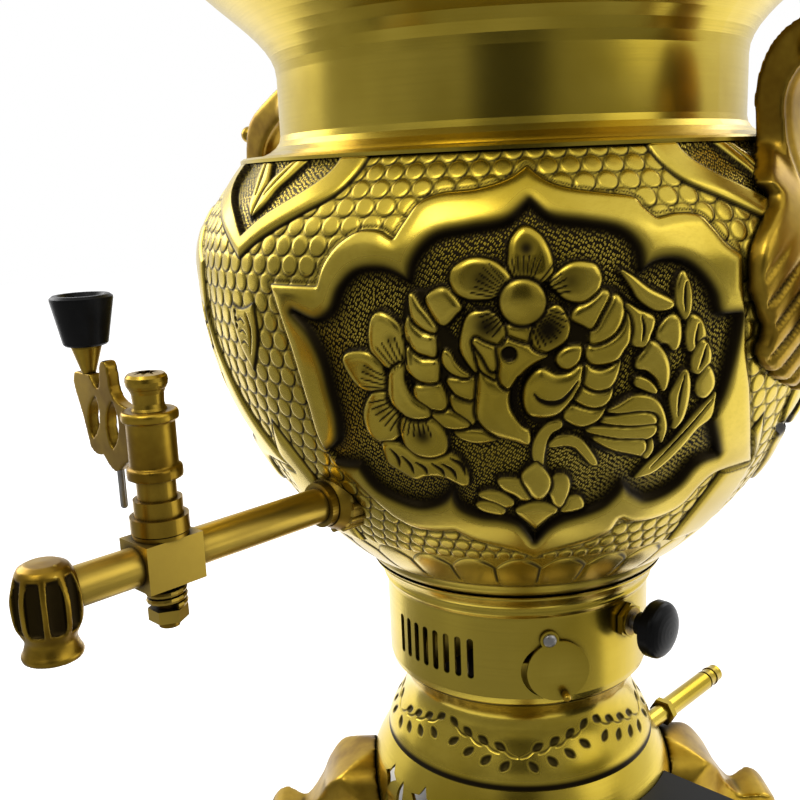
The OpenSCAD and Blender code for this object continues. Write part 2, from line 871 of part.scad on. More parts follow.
// A strap across the band's lower flange, with two posts that carry the burner
module burner_bracket() {
    post_x = burner_r - 6;
    strap_z = band_z + sheet;
    color(iron)
        union() {
            intersection() {
                translate([-bracket_w / 2, -band_r, strap_z])
                    cube([bracket_w, 2 * band_r, bracket_t]);
                cylinder(r = band_foot_r - sheet - 1, h = 2 * strap_z);
            }
            for (s = [-1, 1])
                translate([-bracket_w / 2, s * post_x - bracket_t / 2, strap_z])
                    cube([bracket_w, bracket_t, burner_z - strap_z]);
        }
}

// ---- Igniter ----

igniter_z = base_clear + 20;
igniter_back = 0.3;
igniter_corner = 3;
igniter_screw_r = 1.5;
igniter_screw_y = igniter_w / 2 - 7;
igniter_lead_z = igniter_z - 7;
igniter_lead_r = 2;
igniter_wall = 2;
button_out = 5;
igniter_face_x = base_r + igniter_d;

module rounded_box(l, w, h, r) {
    translate([0, -w / 2, -h / 2])
        union() {
            translate([0, r, 0])
                cube([l, w - 2 * r, h]);
            cube([l - r, w, h]);
            for (y = [r, w - r])
                translate([l - r, y, 0])
                    cylinder(r = r, h = h);
        }
}

module igniter_housing() {
    in_x = base_r - 16;
    color(black)
        difference() {
            translate([in_x, 0, igniter_z])
                rounded_box(igniter_face_x - in_x, igniter_w, igniter_h, igniter_corner);
            turned_core(shell_curve, igniter_back);
            translate([base_r + 3, -igniter_w / 2 + igniter_wall, igniter_z - igniter_h / 2
                + igniter_wall])
                cube([igniter_d - 3 - igniter_wall, igniter_w - 2 * igniter_wall,
                    igniter_h - 2 * igniter_wall]);
            translate([0, 0, igniter_z])
                bar_x(button_r + 0.1, igniter_face_x - igniter_wall - 1, igniter_face_x + 1);
            for (s = [-1, 1])
                translate([0, s * igniter_screw_y, igniter_z])
                    bar_x(igniter_screw_r + fit, base_r / 2, base_r + 4);
        }
}

spring_h = 14;
button_flange_r = button_r + 2;
module igniter_button() {
    stem_x = igniter_face_x - igniter_wall - button_travel - 4;
    color([0.6, 0.06, 0.05])
        translate([0, 0, igniter_z])
            union() {
                bar_x(button_r, igniter_face_x - igniter_wall - 2, igniter_face_x + button_out - 1);
                translate([igniter_face_x + button_out - 1, 0, 0])
                    rotate([0, 90, 0])
                        cylinder(r1 = button_r, r2 = button_r - 1, h = 1);
                bar_x(button_flange_r, igniter_face_x - igniter_wall - 1.7,
                    igniter_face_x - igniter_wall - 0.2);
                bar_x(2, stem_x, igniter_face_x - igniter_wall - 1);
            }
}

module igniter_spring() {
    end_x = igniter_face_x - igniter_wall - 1.9;
    start_x = base_r + 3.2;
    color(steel)
        translate([start_x, 0, igniter_z])
            rotate([0, 90, 0])
                coil(button_r - 1.5, 0.5, end_x - start_x, 5, 6, 12);
}

module igniter_screws() {
    wall_x = sqrt(pow(base_r - sheet, 2) - pow(igniter_screw_y, 2));
    color(steel)
        for (s = [-1, 1])
            translate([0, s * igniter_screw_y, igniter_z])
                union() {
                    bar_x(igniter_screw_r, wall_x - 3.5, base_r + 2.8);
                    bar_x(igniter_screw_r * 1.9, wall_x - 5.5, wall_x - 3.5);
                }
}

// A ceramic rod seated on the burner's ear, with a wire that ends over the cap's ports
module spark_electrode() {
    top_z = burner_z + burner_h + 2;
    wire_r = 0.8;
    color(ceramic)
        translate([electrode_at[0], electrode_at[1], 0])
            union() {
                translate([0, 0, burner_z - 12])
                    cylinder(r = electrode_r, h = top_z - burner_z + 12);
                translate([0, 0, burner_z + ear_t])
                    cylinder(r = electrode_r + 1.2, h = 2);
                translate([0, 0, top_z - 0.5])
                    cylinder(r = wire_r, h = 4.5);
                translate([-4.5, 0, top_z + 3.4])
                    bar_x(wire_r - 0.1, 0, 4.5);
            }
}

// ---- Tank ----

pipe_z = foot_lip_z + pipe_up;
tap_hole_r = pipe_r + fit;
seam_flange = 6;

module urn() {
    color(brass)
        difference() {
            rotate_extrude()
                union() {
                    polygon(wall(urn_curve, urn_wall));
                    polygon([
                        [seam_r, seam_z], [seam_r - seam_flange, seam_z],
                        [seam_r - seam_flange, seam_z - 1.2], [seam_r - 0.4, seam_z - 1.2]]);
                    polygon([
                        [tank_foot_r, tank_z], [tank_foot_r, tank_z + 2.2],
                        [urn_foot_r - 1, tank_z + 2.8], [urn_foot_r, tank_z + 4],
                        [urn_foot_r, foot_lip_z], [urn_foot_r + 0.7, foot_lip_z + 1.3],
                        [urn_foot_r - urn_wall, foot_lip_z + 1.5],
                        [tank_foot_r - urn_wall, foot_lip_z + 1.5], [tank_foot_r - urn_wall, tank_z]]);
                }
            translate([0, 0, pipe_z])
                rotate([90, 0, 0])
                    cylinder(r = tap_hole_r, h = urn_r);
            for (s = [0, 180], z = handle_screw_z)
                rotate([0, 0, s])
                    translate([0, 0, z])
                        bar_x(screw_r + fit, seam_r - 20, urn_r + 5);
        }
}

module tank_bottom() {
    color(brass)
        translate([0, 0, tank_z])
            difference() {
                union() {
                    cylinder(r = tank_foot_r - urn_wall - fit, h = urn_wall);
                    cylinder(r = flue_r + 3, h = urn_wall + 4);
                }
                translate([0, 0, -1])
                    cylinder(r = flue_r + fit, h = urn_wall + 7);
            }
}

module flue_tube() {
    color(brass)
        translate([0, 0, tank_z])
            ring(flue_r, flue_r - urn_wall, flue_top_z - tank_z);
}

module neck() {
    lip = 1.2;
    color(brass)
        rotate_extrude()
            union() {
                polygon(concat(neck_curve, reversed(inset(neck_curve, sheet))));
                polygon([
                    [seam_r - seam_flange, seam_z], [seam_r + lip, seam_z],
                    [seam_r + lip, seam_z + 0.8 * sheet], [seam_r, seam_z + sheet + 0.5],
                    [seam_r - seam_flange, seam_z + sheet]]);
            }
}

ledge_w = 9;
module rim_ring() {
    color(brass)
        rotate_extrude()
            union() {
                translate([rim_r - ledge_w, rim_z])
                    square([ledge_w, sheet]);
                intersection() {
                    translate([rim_r, rim_z + 0.35 * bead_r])
                        circle(r = bead_r, $fn = 48);
                    translate([rim_r - 2 * bead_r, rim_z])
                        square([4 * bead_r, 3 * bead_r]);
                }
            }
}

// ---- Lid ----

lid_edge_r = rim_r - bead_r - 0.6;
lid_gap = 0.5;
lid_hole_r = flue_r + lid_gap;
lid_collar_r = flue_r + 4;
lid_dome_r = rim_r - ledge_w - 2;

// Height of the lid's upper face above its dome's foot
function lid_z_at(r) =
    let (u = (lid_dome_r - r) / (lid_dome_r - lid_collar_r))
    lid_z + sheet + (lid_h - sheet) * (1 - cos(180 * pow(max(0, u), 0.8))) / 2;
lid_dome = [for (i = [0:steps])
    let (r = lid_dome_r + (lid_collar_r - lid_dome_r) * i / steps) [r, lid_z_at(r)]];

// The solid under the lid's upper face, grown upwards by g
module lid_core(g) {
    rotate_extrude()
        polygon(concat(
            [[0, lid_z - 30], [lid_dome_r, lid_z - 30]],
            [for (q = lid_dome) q + [0, g]],
            [[0, lid_dome[steps][1] + g]]));
}

vent_at = 62;
vent_r = 4;
module lid() {
    under = [for (q = lid_dome) [q[0], max(lid_z, q[1] - sheet)]];
    color(brass)
        difference() {
            rotate_extrude()
                polygon(concat(
                    [[lid_edge_r, lid_z], [lid_edge_r, lid_z + sheet]],
                    lid_dome,
                    [[lid_collar_r, lid_top_z], [lid_hole_r, lid_top_z]],
                    [[lid_hole_r, lid_z + lid_h - sheet]],
                    reversed(under)));
            for (s = [-1, 1])
                translate([s * lid_knob_at, 0, lid_z - 5])
                    cylinder(r = stud_r + fit, h = lid_h + 10);
            translate([0, vent_at, lid_z - 5])
                cylinder(r = vent_r - 1 + fit, h = lid_h + 10);
        }
}

stud_r = 2.5;
stud_h = 7;
stud_top_z = lid_z_at(lid_knob_at) + 0.8 + stud_h;
stud_nut_t = 2;
stud_nut_top_z = lid_z_at(lid_knob_at + stud_r + 2) - sheet - 0.3;
module lid_knob_studs() {
    collar_z = lid_z_at(lid_knob_at) - 1;
    color(brass)
        for (s = [-1, 1])
            union() {
                translate([s * lid_knob_at, 0, stud_nut_top_z - stud_nut_t])
                    cylinder(r = stud_r, h = stud_top_z + 8 - stud_nut_top_z + stud_nut_t);
                translate([s * lid_knob_at, 0, stud_nut_top_z - stud_nut_t])
                    hexagon(stud_r + 1.5, stud_nut_t);
                difference() {
                    translate([s * lid_knob_at, 0, collar_z])
                        cylinder(r1 = stud_r + 1.5, r2 = stud_r + 2.6, h = stud_top_z - collar_z);
                    lid_core(0.1);
                }
            }
}

module lid_knobs() {
    color(black)
        for (s = [-1, 1])
            translate([s * lid_knob_at, 0, stud_top_z])
                difference() {
                    rotate_extrude()
                        polygon(concat([[0, 0]],
                            spline([
                                [lid_knob_r * 0.5, 0], [lid_knob_r * 0.9, lid_knob_r * 0.45],
                                [lid_knob_r, lid_knob_r * 0.95],
                                [lid_knob_r * 0.8, lid_knob_r * 1.45],
                                [lid_knob_r * 0.35, lid_knob_r * 1.7]]),
                            [[0, lid_knob_r * 1.75]]));
                    translate([0, 0, -1])
                        cylinder(r = stud_r + fit, h = 9);
                }
}

module steam_vent() {
    vent_z = lid_z_at(vent_at);
    vent_in = 5;
    vent_h = 7;
    color(brass)
        difference() {
            union() {
                translate([0, vent_at, vent_z - vent_in])
                    cylinder(r = vent_r - 1, h = vent_in + vent_h);
                difference() {
                    union() {
                        translate([0, vent_at, vent_z - 2])
                            cylinder(r = vent_r, h = vent_h + 2);
                        translate([0, vent_at, vent_z + vent_h])
                            cylinder(r1 = vent_r, r2 = vent_r - 1.5, h = 2.5);
                    }
                    lid_core(0.1);
                }
            }
            translate([0, vent_at, vent_z - vent_in - 1])
                cylinder(r = vent_r - 2.2, h = 30);
        }
}

// ---- Teapot crown ----

sleeve_h = 10;
sleeve_r = flue_r + 6;
crown_z = lid_top_z;
gallery_z = crown_z + sleeve_h;
crown_rim_h = 4;
grid_t = 2;
grid_seat = 3;
gallery_h = crown_top_h - sleeve_h - crown_rim_h;
gallery_t = 2;
crown_top_z = crown_z + crown_top_h;

module crown_sleeve() {
    color(brass)
        difference() {
            union() {
                translate([0, 0, crown_z])
                    cylinder(r = sleeve_r, h = 3);
                translate([0, 0, crown_z + 3])
                    cylinder(r1 = sleeve_r - 1, r2 = sleeve_r - 2, h = sleeve_h - 5);
                translate([0, 0, gallery_z - 2])
                    cylinder(r = sleeve_r + 1, h = 2);
            }
            translate([0, 0, crown_z - 1])
                cylinder(r = flue_r + lid_gap, h = sleeve_h + 2);
        }
}

gallery_curve = [for (i = [0:8]) [
    sleeve_r - 1 + (crown_rim_r - 2 - sleeve_r + 1) * (1 - cos(90 * i / 8)),
    gallery_z + gallery_h * i / 8]];
arch_h = gallery_h * 0.62;
module crown_gallery() {
    arch_w = 2 * 3.14159 * sleeve_r / arch_count * 0.56;
    color(brass)
        difference() {
            turned_wall(gallery_curve, gallery_t);
            for (i = [0:arch_count - 1])
                cut_out(i * 360 / arch_count, gallery_z + 3, sleeve_r - 8, crown_rim_r)
                    union() {
                        translate([-arch_w / 2, 0])
                            square([arch_w, arch_h - arch_w / 2]);
                        translate([0, arch_h - arch_w / 2])
                            circle(r = arch_w / 2);
                    }
        }
}

rim_seat_r = crown_rim_r - 6;
module crown_rim() {
    color(brass)
        difference() {
            union() {
                translate([0, 0, crown_top_z - crown_rim_h])
                    cylinder(r = crown_rim_r, h = crown_rim_h);
                rotate_extrude()
                    translate([crown_rim_r, crown_top_z - crown_rim_h / 2])
                        circle(r = crown_rim_h * 0.4, $fn = 32);
            }
            translate([0, 0, crown_top_z - grid_t])
                cylinder(r = rim_seat_r, h = grid_t + 1);
            translate([0, 0, crown_top_z - crown_rim_h - 1])
                cylinder(r = rim_seat_r - grid_seat, h = crown_rim_h + 2);
        }
}

// The grid lies in the rim's rebate and keeps a small teapot from dropping through
grid_arms = 6;
module teapot_grid() {
    grid_r = rim_seat_r - 0.2;
    hub_r = 8;
    arm_w = 2.4;
    color(iron)
        translate([0, 0, crown_top_z - grid_t])
            linear_extrude(height = grid_t)
                union() {
                    difference() {
                        circle(r = grid_r);
                        circle(r = grid_r - 3.5);
                    }
                    difference() {
                        union() {
                            circle(r = hub_r);
                            for (i = [0:grid_arms - 1])
                                rotate(i * 360 / grid_arms)
                                    translate([0, -arm_w / 2])
                                        square([grid_r - 1, arm_w]);
                        }
                        circle(r = hub_r - 3);
                    }
                }
}

// ---- Handles ----

handle_screw_z = [belly_z - 15, belly_z + 3];
handle_screw_grip = 5;
function handle_head_seat(z) =
    head_seat(min(urn_r_at(z - screw_head_r), urn_r_at(z + screw_head_r)) - 1.05 * urn_wall);
scroll_eye_z = seam_z + 27;
scroll_eye_x = urn_r + 2;
finial_z = seam_z + 17;
finial_x = urn_r + 34.6;
finial_collar_r = ball_r + 0.4;
finial_sink = 1.5;

// Half of the leaf's outline on the urn, as [half width, height]
handle_leaf = spline([
    [leaf_half_w * 0.24, seam_z - 1], [leaf_half_w * 0.4, seam_z - 6],
    [leaf_half_w * 0.62, seam_z - 13], [leaf_half_w * 0.58, seam_z - 18],
    [leaf_half_w * 0.88, seam_z - 28], [leaf_half_w, seam_z - 37],
    [leaf_half_w * 0.96, seam_z - 48], [leaf_half_w * 0.78, seam_z - 58],
    [leaf_half_w * 0.82, seam_z - 66], [leaf_half_w * 0.5, seam_z - 75],
    [0, seam_z - 83]]);

// Middle line of the scroll, as [distance from the axis, height, half thickness]
scroll_line = spline([
    [urn_r - 3, seam_z - 24, 6], [seam_r + 9.6, seam_z - 7, 5.4],
    [seam_r + 7.2, seam_z + 5, 5.2], [seam_r + 7.2, seam_z + 16, 5.6],
    [seam_r + 12, seam_z + 26, 6.5], [seam_r + 22, seam_z + 31, 7],
    [urn_r + 14, seam_z + 26, 7], [urn_r + 26, seam_z + 17, 8],
    [urn_r + 30, seam_z + 5, 6.5], [urn_r + 33, seam_z - 8, 5.5],
    [urn_r + 35, seam_z - 23, 5.2], [urn_r + 31, seam_z - 38, 5.2],
    [urn_r + 22, seam_z - 50, 5.5], [urn_r + 11, seam_z - 57, 6], [urn_r - 1, seam_z - 60, 6]]);

module handle() {
    low_z = seam_z - 90;
    color(bronze)
        difference() {
            union() {
                intersection() {
                    turned_core(urn_curve, seat + leaf_t);
                    rotate([90, 0, 90])
                        linear_extrude(height = urn_r + 2 * leaf_t)
                            polygon(concat(handle_leaf, reversed(mirrored(handle_leaf))));
                }
                rotate([90, 0, 0])
                    linear_extrude(height = scroll_w, center = true)
                        polygon(ribbon(scroll_line));
                translate([scroll_eye_x, 0, scroll_eye_z])
                    rotate([90, 0, 0])
                        cylinder(r = ball_r, h = scroll_w + 3, center = true);
            }
            turned_core(urn_curve, seat);
            for (z = handle_screw_z)
                translate([0, 0, z])
                    bar_x(screw_r + fit, seam_r - 20, urn_r_at(z) + handle_screw_grip + 0.4);
            translate([0, 0, finial_z])
                bar_x(screw_r + fit, finial_x - 8.5, finial_x + 5);
            translate([0, 0, finial_z])
                bar_x(finial_collar_r + fit, finial_x - finial_sink, finial_x + 5);
        }
}
module right_handle() handle();
module left_handle() rotate([0, 0, 180]) handle();

module handle_finials() {
    collar_l = 5 - finial_sink;
    color(brass)
        for (a = [0, 180])
            rotate([0, 0, a])
                translate([0, 0, finial_z])
                    union() {
                        bar_x(screw_r, finial_x - 8, finial_x + collar_l);
                        bar_x(finial_collar_r, finial_x - finial_sink, finial_x + collar_l);
                        bar_x(ball_r * 0.7, finial_x, finial_x + collar_l + ball_r);
                        translate([finial_x + collar_l + 1.2 * ball_r, 0, 0])
                            sphere(r = ball_r);
                    }
}

module handle_screws() {
    color(steel)
        for (a = [0, 180], z = handle_screw_z)
            rotate([0, 0, a])
                translate([0, 0, z])
                    wall_screw(handle_head_seat(z), urn_r_at(z) + handle_screw_grip);
}

// ---- Tap: pieces fixed to the urn ----

escutcheon_r = 11;
gasket_r = 11;
pipe_wall_y = urn_r_at(pipe_z);
gasket_face_y = urn_r_at(pipe_z - gasket_r) - 1.5 * urn_wall - 3;
backnut_t = 5;
pipe_in_y = gasket_face_y - backnut_t - 4;
socket_d = 3;
spout_y = stem_y + block_l / 2 + outlet_len + spout_l / 2;

// Turns a shape drawn along +Z to point from the urn's axis towards the tap
module along_pipe() {
    translate([0, 0, pipe_z])
        rotate([90, 0, 0])
            children();
}

module tap_escutcheon() {
    rib_count = 12;
    out_y = pipe_wall_y + 9;
    color(bronze)
        difference() {
            along_pipe()
                union() {
                    translate([0, 0, pipe_wall_y - 14])
                        cylinder(r = escutcheon_r, h = 14 + 2);
                    translate([0, 0, pipe_wall_y + 2])
                        cylinder(r1 = escutcheon_r, r2 = escutcheon_r - 2.5, h = 4);
                    for (i = [0:rib_count - 1])
                        rotate([0, 0, i * 360 / rib_count])
                            translate([escutcheon_r - 0.6, 0, pipe_wall_y - 14])
                                cylinder(r = 1.4, h = 14 + 2.6, $fn = 24);
                    translate([0, 0, pipe_wall_y + 5])
                        cylinder(r = escutcheon_r - 3, h = out_y - pipe_wall_y - 5);
                }
            turned_core(urn_curve, seat);
            along_pipe()
                cylinder(r = pipe_r + fit, h = out_y + 5);
        }
}

module tap_gasket() {
    color(rubber)
        difference() {
            intersection() {
                along_pipe()
                    translate([0, 0, gasket_face_y])
                        cylinder(r = gasket_r, h = 40);
                turned_core(urn_curve, -urn_wall - 0.1);
            }
            along_pipe()
                cylinder(r = pipe_r + fit, h = urn_r);
        }
}

module tap_backnut() {
    color(brass)
        along_pipe()
            translate([0, 0, gasket_face_y - backnut_t])
                difference() {
                    hexagon(gasket_r - 1, backnut_t);
                    translate([0, 0, -1])
                        cylinder(r = pipe_r + fit, h = backnut_t + 2);
                }
}

module tap_inlet_pipe() {
    color(bronze)
        along_pipe()
            translate([0, 0, pipe_in_y])
                ring(pipe_r, pipe_bore_r, stem_y - block_l / 2 + socket_d - pipe_in_y);
}

module tap_outlet_pipe() {
    color(bronze)
        along_pipe()
            translate([0, 0, stem_y + block_l / 2 - socket_d])
                ring(pipe_r, pipe_bore_r, outlet_len + 2 * socket_d);
}

plug_top_r = 6.7;
plug_bottom_r = 5.6;
stem_r = 3.3;

module tap_block() {
    color(bronze)
        translate([0, -stem_y, pipe_z])
            difference() {
                cube([block_w, block_l, block_h], center = true);
                translate([0, 0, -block_h / 2])
                    cylinder(r1 = plug_bottom_r + fit, r2 = plug_top_r + fit, h = block_h);
                rotate([90, 0, 0])
                    cylinder(r = pipe_bore_r, h = block_l + 2, center = true);
                for (s = [-1, 1])
                    rotate([s * 90, 0, 0])
                        translate([0, 0, block_l / 2 - socket_d])
                            cylinder(r = pipe_r + fit, h = socket_d + 1);
            }
}

// ---- Tap: spout ----

spout_up = 8.5;
spout_roof = 2.1;
spout_down = 10.5;
lip_down = 18;
spout_r = spout_l / 2;
spout_lip_r = spout_r * 0.88;
flute_turn = 40;
flute_r = 3.6;
flute_depth = 1.7;
flute_reach = 3;

// Side of the turned spout, as [radius, height above the pipe's middle]
spout_side = concat(
    [[0, spout_up + spout_roof], [spout_r * 0.5, spout_up + spout_roof * 0.85]],
    spline([
        [spout_r * 0.7, spout_up + spout_roof * 0.4], [spout_r * 0.81, spout_up - 1],
        [spout_r * 0.93, spout_up - 5], [spout_r, -0.5], [spout_r * 0.95, 3.5 - spout_down],
        [spout_r * 0.8, -spout_down], [spout_r * 0.73, -spout_down - 2],
        [spout_r * 0.8, 3 - lip_down], [spout_lip_r, 1.4 - lip_down], [spout_lip_r * 0.96, -lip_down]]),
    [[0, -lip_down]]);

module tap_spout() {
    color(bronze)
        translate([0, -spout_y, pipe_z])
            difference() {
                rotate_extrude()
                    polygon(spout_side);
                for (i = [-flute_reach:flute_reach])
                    rotate([0, 0, i * flute_turn - 90])
                        translate([spout_r - flute_depth + flute_r, 0, -lip_down / 2])
                            cylinder(r = flute_r, h = lip_down);
                translate([0, 0, -lip_down - 1])
                    cylinder(r = outlet_r, h = lip_down + 1);
                rotate([-90, 0, 0])
                    cylinder(r = pipe_bore_r, h = spout_l);
                rotate([-90, 0, 0])
                    translate([0, 0, spout_r - socket_d])
                        cylinder(r = pipe_r + fit, h = socket_d + 2);
            }
}

// ---- Tap: the turning key ----

// Levels above the pipe's middle
ring_z = block_h / 2 + 0.1;
step_z = ring_z + 6.6;
cone_z = step_z + 5.3;
sleeve_z = cone_z + 6.5;
barrel_z = sleeve_z + 3.5;
head_z = barrel_z + 14.5;
finial_base_z = head_z + 3;
shank_r = 3.5;
stud_thread_r = 2.5;
spring_top = -block_h / 2 - 0.2;
spring_len = 8;
nut_t = 4;
nut_top = spring_top - spring_len - 0.1;
stem_end = nut_top - nut_t - 2.4;

module on_stem() {
    translate([0, -stem_y, pipe_z])
        children();
}

module tap_plug() {
    color(brass)
        on_stem()
            difference() {
                union() {
                    translate([0, 0, stem_end])
                        cylinder(r = stem_r, h = -block_h / 2 - stem_end + 1);
                    translate([0, 0, -block_h / 2])
                        cylinder(r1 = plug_bottom_r, r2 = plug_top_r, h = block_h);
                    translate([0, 0, block_h / 2 - eps])
                        cylinder(r = plug_top_r, h = 0.1 + 2 * eps);
                    translate([0, 0, ring_z])
                        cylinder(r = 8.6, h = 1.2);
                    translate([0, 0, ring_z + 1.2])
                        cylinder(r = 8.2, h = 0.5);
                    translate([0, 0, ring_z + 1.7])
                        cylinder(r = 9, h = step_z - ring_z - 1.7);
                    translate([0, 0, step_z])
                        cylinder(r = 7.5, h = cone_z - step_z);
                    translate([0, 0, cone_z])
                        cylinder(r = 6, h = sleeve_z - cone_z);
                    translate([0, 0, sleeve_z])
                        cylinder(r = shank_r, h = finial_base_z - sleeve_z);
                    translate([0, 0, finial_base_z])
                        cylinder(r = stud_thread_r, h = 6);
                }
                rotate([0, 90, 0])
                    cylinder(r = pipe_bore_r, h = 4 * plug_top_r, center = true);
            }
}

// Outline of the lever's plate, as [distance from the stem, height above the sleeve]
lever_outline = spline([
    [5.5, 4], [12, 3], [16.8, 0], [20.5, -1.8], [24.3, 0.2], [27, 2.6], [31, 2.2],
    [34.4, 3.8], [35.6, 7], [37.6, 14], [lever_reach + 6.4, 21], [lever_reach + 7.6, 25.5],
    [lever_reach + 6, 28.6], [lever_reach + 3, 28.6]], 2);
lever_top = spline([
    [lever_reach - 3.6, 28.6], [lever_reach - 5.4, 26], [26.4, 24.6], [24.8, 27], [24.2, 31.5],
    [21.8, 34], [19.2, 32], [18.6, 26], [16.6, 22.4], [12, 20.6], [5.5, 20]], 2);
ferrule_base_z = sleeve_z + 28.6;
ferrule_h = 9;
ferrule_pin_r = 1.5;
pin_at = 20.5;
lever_pin_r = 1.2;
lever_pin_len = 17;

module lever_window(at, z, w, h, lean) {
    translate([-at, 0, sleeve_z + z])
        rotate([90, lean, 0])
            linear_extrude(height = 2 * lever_t, center = true)
                leaf_oval(w, h);
}

module tap_lever() {
    color(bronze)
        on_stem()
            difference() {
                union() {
                    translate([0, 0, sleeve_z])
                        cylinder(r = 8.5, h = barrel_z - sleeve_z);
                    translate([0, 0, barrel_z])
                        cylinder(r = 7.4, h = head_z - barrel_z);
                    translate([0, 0, head_z])
                        cylinder(r = 8.7, h = finial_base_z - head_z - 0.8);
                    translate([0, 0, finial_base_z - 0.8])
                        cylinder(r1 = 8.7, r2 = 8.1, h = 0.8);
                    translate([0, 0, sleeve_z])
                        rotate([90, 0, 0])
                            linear_extrude(height = lever_t, center = true)
                                polygon([for (q = concat(lever_outline, lever_top)) [-q[0], q[1]]]);
                }
                translate([0, 0, sleeve_z - 5])
                    cylinder(r = shank_r + fit, h = 40);
                lever_window(30.6, 14.6, 6.6, 15, 18);
                lever_window(19.4, 13.6, 7, 16, 10);
                translate([-pin_at, 0, sleeve_z - 5])
                    cylinder(r = lever_pin_r + fit, h = 9);
                translate([-lever_reach, 0, ferrule_base_z - 4.2])
                    cylinder(r = ferrule_pin_r + fit, h = 6);
            }
}

module tap_finial() {
    neck_h = 5;
    cap_top = neck_h + 6.5;
    color(brass)
        on_stem()
            translate([0, 0, finial_base_z + fit])
                difference() {
                    rotate_extrude()
                        polygon([
                            [0, 0], [5.4, 0], [5, 0.8], [4.7, 2], [4.9, neck_h], [5.5, neck_h + 1.4],
                            [5.7, neck_h + 1.6], [6.2, neck_h + 2.6], [6.4, neck_h + 3.8],
                            [6.2, neck_h + 5], [5.5, neck_h + 5.9], [0, cap_top]]);
                    translate([0, 0, -1])
                        cylinder(r = stud_thread_r + fit, h = 7.4);
                    translate([0, 0, cap_top - 1])
                        linear_extrude(height = 3)
                            star(4.4, 8);
                }
}

module lever_ferrule() {
    color(brass)
        on_stem()
            translate([-lever_reach, 0, ferrule_base_z])
                union() {
                    translate([0, 0, -4])
                        cylinder(r = ferrule_pin_r, h = 5);
                    cylinder(r1 = 2.2, r2 = 4.75, h = ferrule_h - 0.8);
                    translate([0, 0, ferrule_h - 0.8])
                        cylinder(r = 4.75, h = 0.8);
                    translate([0, 0, ferrule_h - 1])
                        cylinder(r = 2, h = 10);
                }
}

module lever_knob() {
    r = lever_knob_r;
    h = lever_knob_h;
    color(black)
        on_stem()
            translate([-lever_reach, 0, ferrule_base_z + ferrule_h])
                difference() {
                    rotate_extrude()
                        polygon([
                            [0, 0], [r * 0.66, 0], [r * 0.72, 0.6], [r, h - 1.6], [r, h - 0.8],
                            [r * 0.9, h], [r * 0.76, h], [r * 0.66, h - 1.2], [0, h - 1.8]]);
                    translate([0, 0, -1])
                        cylinder(r = 2 + fit, h = 10.4);
                }
}

module lever_pin() {
    color(steel)
        on_stem()
            translate([-pin_at, 0, sleeve_z + 3.9 - lever_pin_len])
                union() {
                    cylinder(r = lever_pin_r, h = lever_pin_len);
                    sphere(r = lever_pin_r);
                }
}

module tap_spring() {
    color(bronze)
        on_stem()
            translate([0, 0, spring_top - spring_len])
                coil(5.4, 1.1, spring_len, 2.6);
}

module tap_nut() {
    color(bronze)
        on_stem()
            translate([0, 0, nut_top - nut_t])
                difference() {
                    hexagon(5.4, nut_t);
                    translate([0, 0, -1])
                        cylinder(r = stem_r + fit, h = nut_t + 2);
                }
}

leg_front_right();
leg_front_left();
leg_rear_left();
leg_rear_right();
leg_screws();
base_shell();
pedestal();
burner_band();
ignition_cover();
cover_rivet();
cover_pull();
gas_knob();
gas_spindle();
gas_collar_nut();
gas_valve_body();
gas_jet();
gas_riser();
gas_feed_pipe();
hose_nipple();
venturi_tube();
burner_head();
burner_cap();
burner_bracket();
igniter_housing();
igniter_button();
igniter_spring();
igniter_screws();
spark_electrode();
urn();
tank_bottom();
flue_tube();
neck();
rim_ring();
lid();
lid_knobs();
lid_knob_studs();
steam_vent();
crown_sleeve();
crown_gallery();
crown_rim();
teapot_grid();
right_handle();
left_handle();
handle_finials();
handle_screws();
tap_escutcheon();
tap_gasket();
tap_backnut();
tap_inlet_pipe();
tap_block();
tap_outlet_pipe();
tap_spout();
tap_plug();
tap_lever();
tap_finial();
lever_ferrule();
lever_knob();
lever_pin();
tap_spring();
tap_nut();
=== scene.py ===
"""Looks of the brass gas samovar: its chased urn, its finishes, the studio and the camera."""
import json
import math

import bpy
import numpy as np
from mathutils import Matrix, Vector


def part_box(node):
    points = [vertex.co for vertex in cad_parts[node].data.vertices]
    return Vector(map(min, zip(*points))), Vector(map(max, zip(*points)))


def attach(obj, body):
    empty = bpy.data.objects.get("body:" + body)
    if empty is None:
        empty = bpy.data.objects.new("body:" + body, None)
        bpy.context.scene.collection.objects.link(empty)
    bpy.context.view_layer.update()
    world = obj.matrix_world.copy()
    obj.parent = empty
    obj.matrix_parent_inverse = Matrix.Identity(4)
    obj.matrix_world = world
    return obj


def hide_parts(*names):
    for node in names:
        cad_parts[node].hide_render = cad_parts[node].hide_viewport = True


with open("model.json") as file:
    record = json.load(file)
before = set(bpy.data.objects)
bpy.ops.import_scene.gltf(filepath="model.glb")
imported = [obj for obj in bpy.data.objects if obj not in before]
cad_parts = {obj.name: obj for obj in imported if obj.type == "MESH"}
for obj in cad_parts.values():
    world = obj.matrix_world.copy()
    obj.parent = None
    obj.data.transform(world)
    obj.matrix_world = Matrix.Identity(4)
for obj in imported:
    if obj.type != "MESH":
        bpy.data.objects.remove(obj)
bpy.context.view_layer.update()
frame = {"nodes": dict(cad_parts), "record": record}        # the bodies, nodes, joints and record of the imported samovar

MM = 0.001
CAMERA_AT = (0.26270, -0.33025, 0.29958)
CAMERA_SIDE = math.degrees(math.atan2(CAMERA_AT[1], CAMERA_AT[0]))

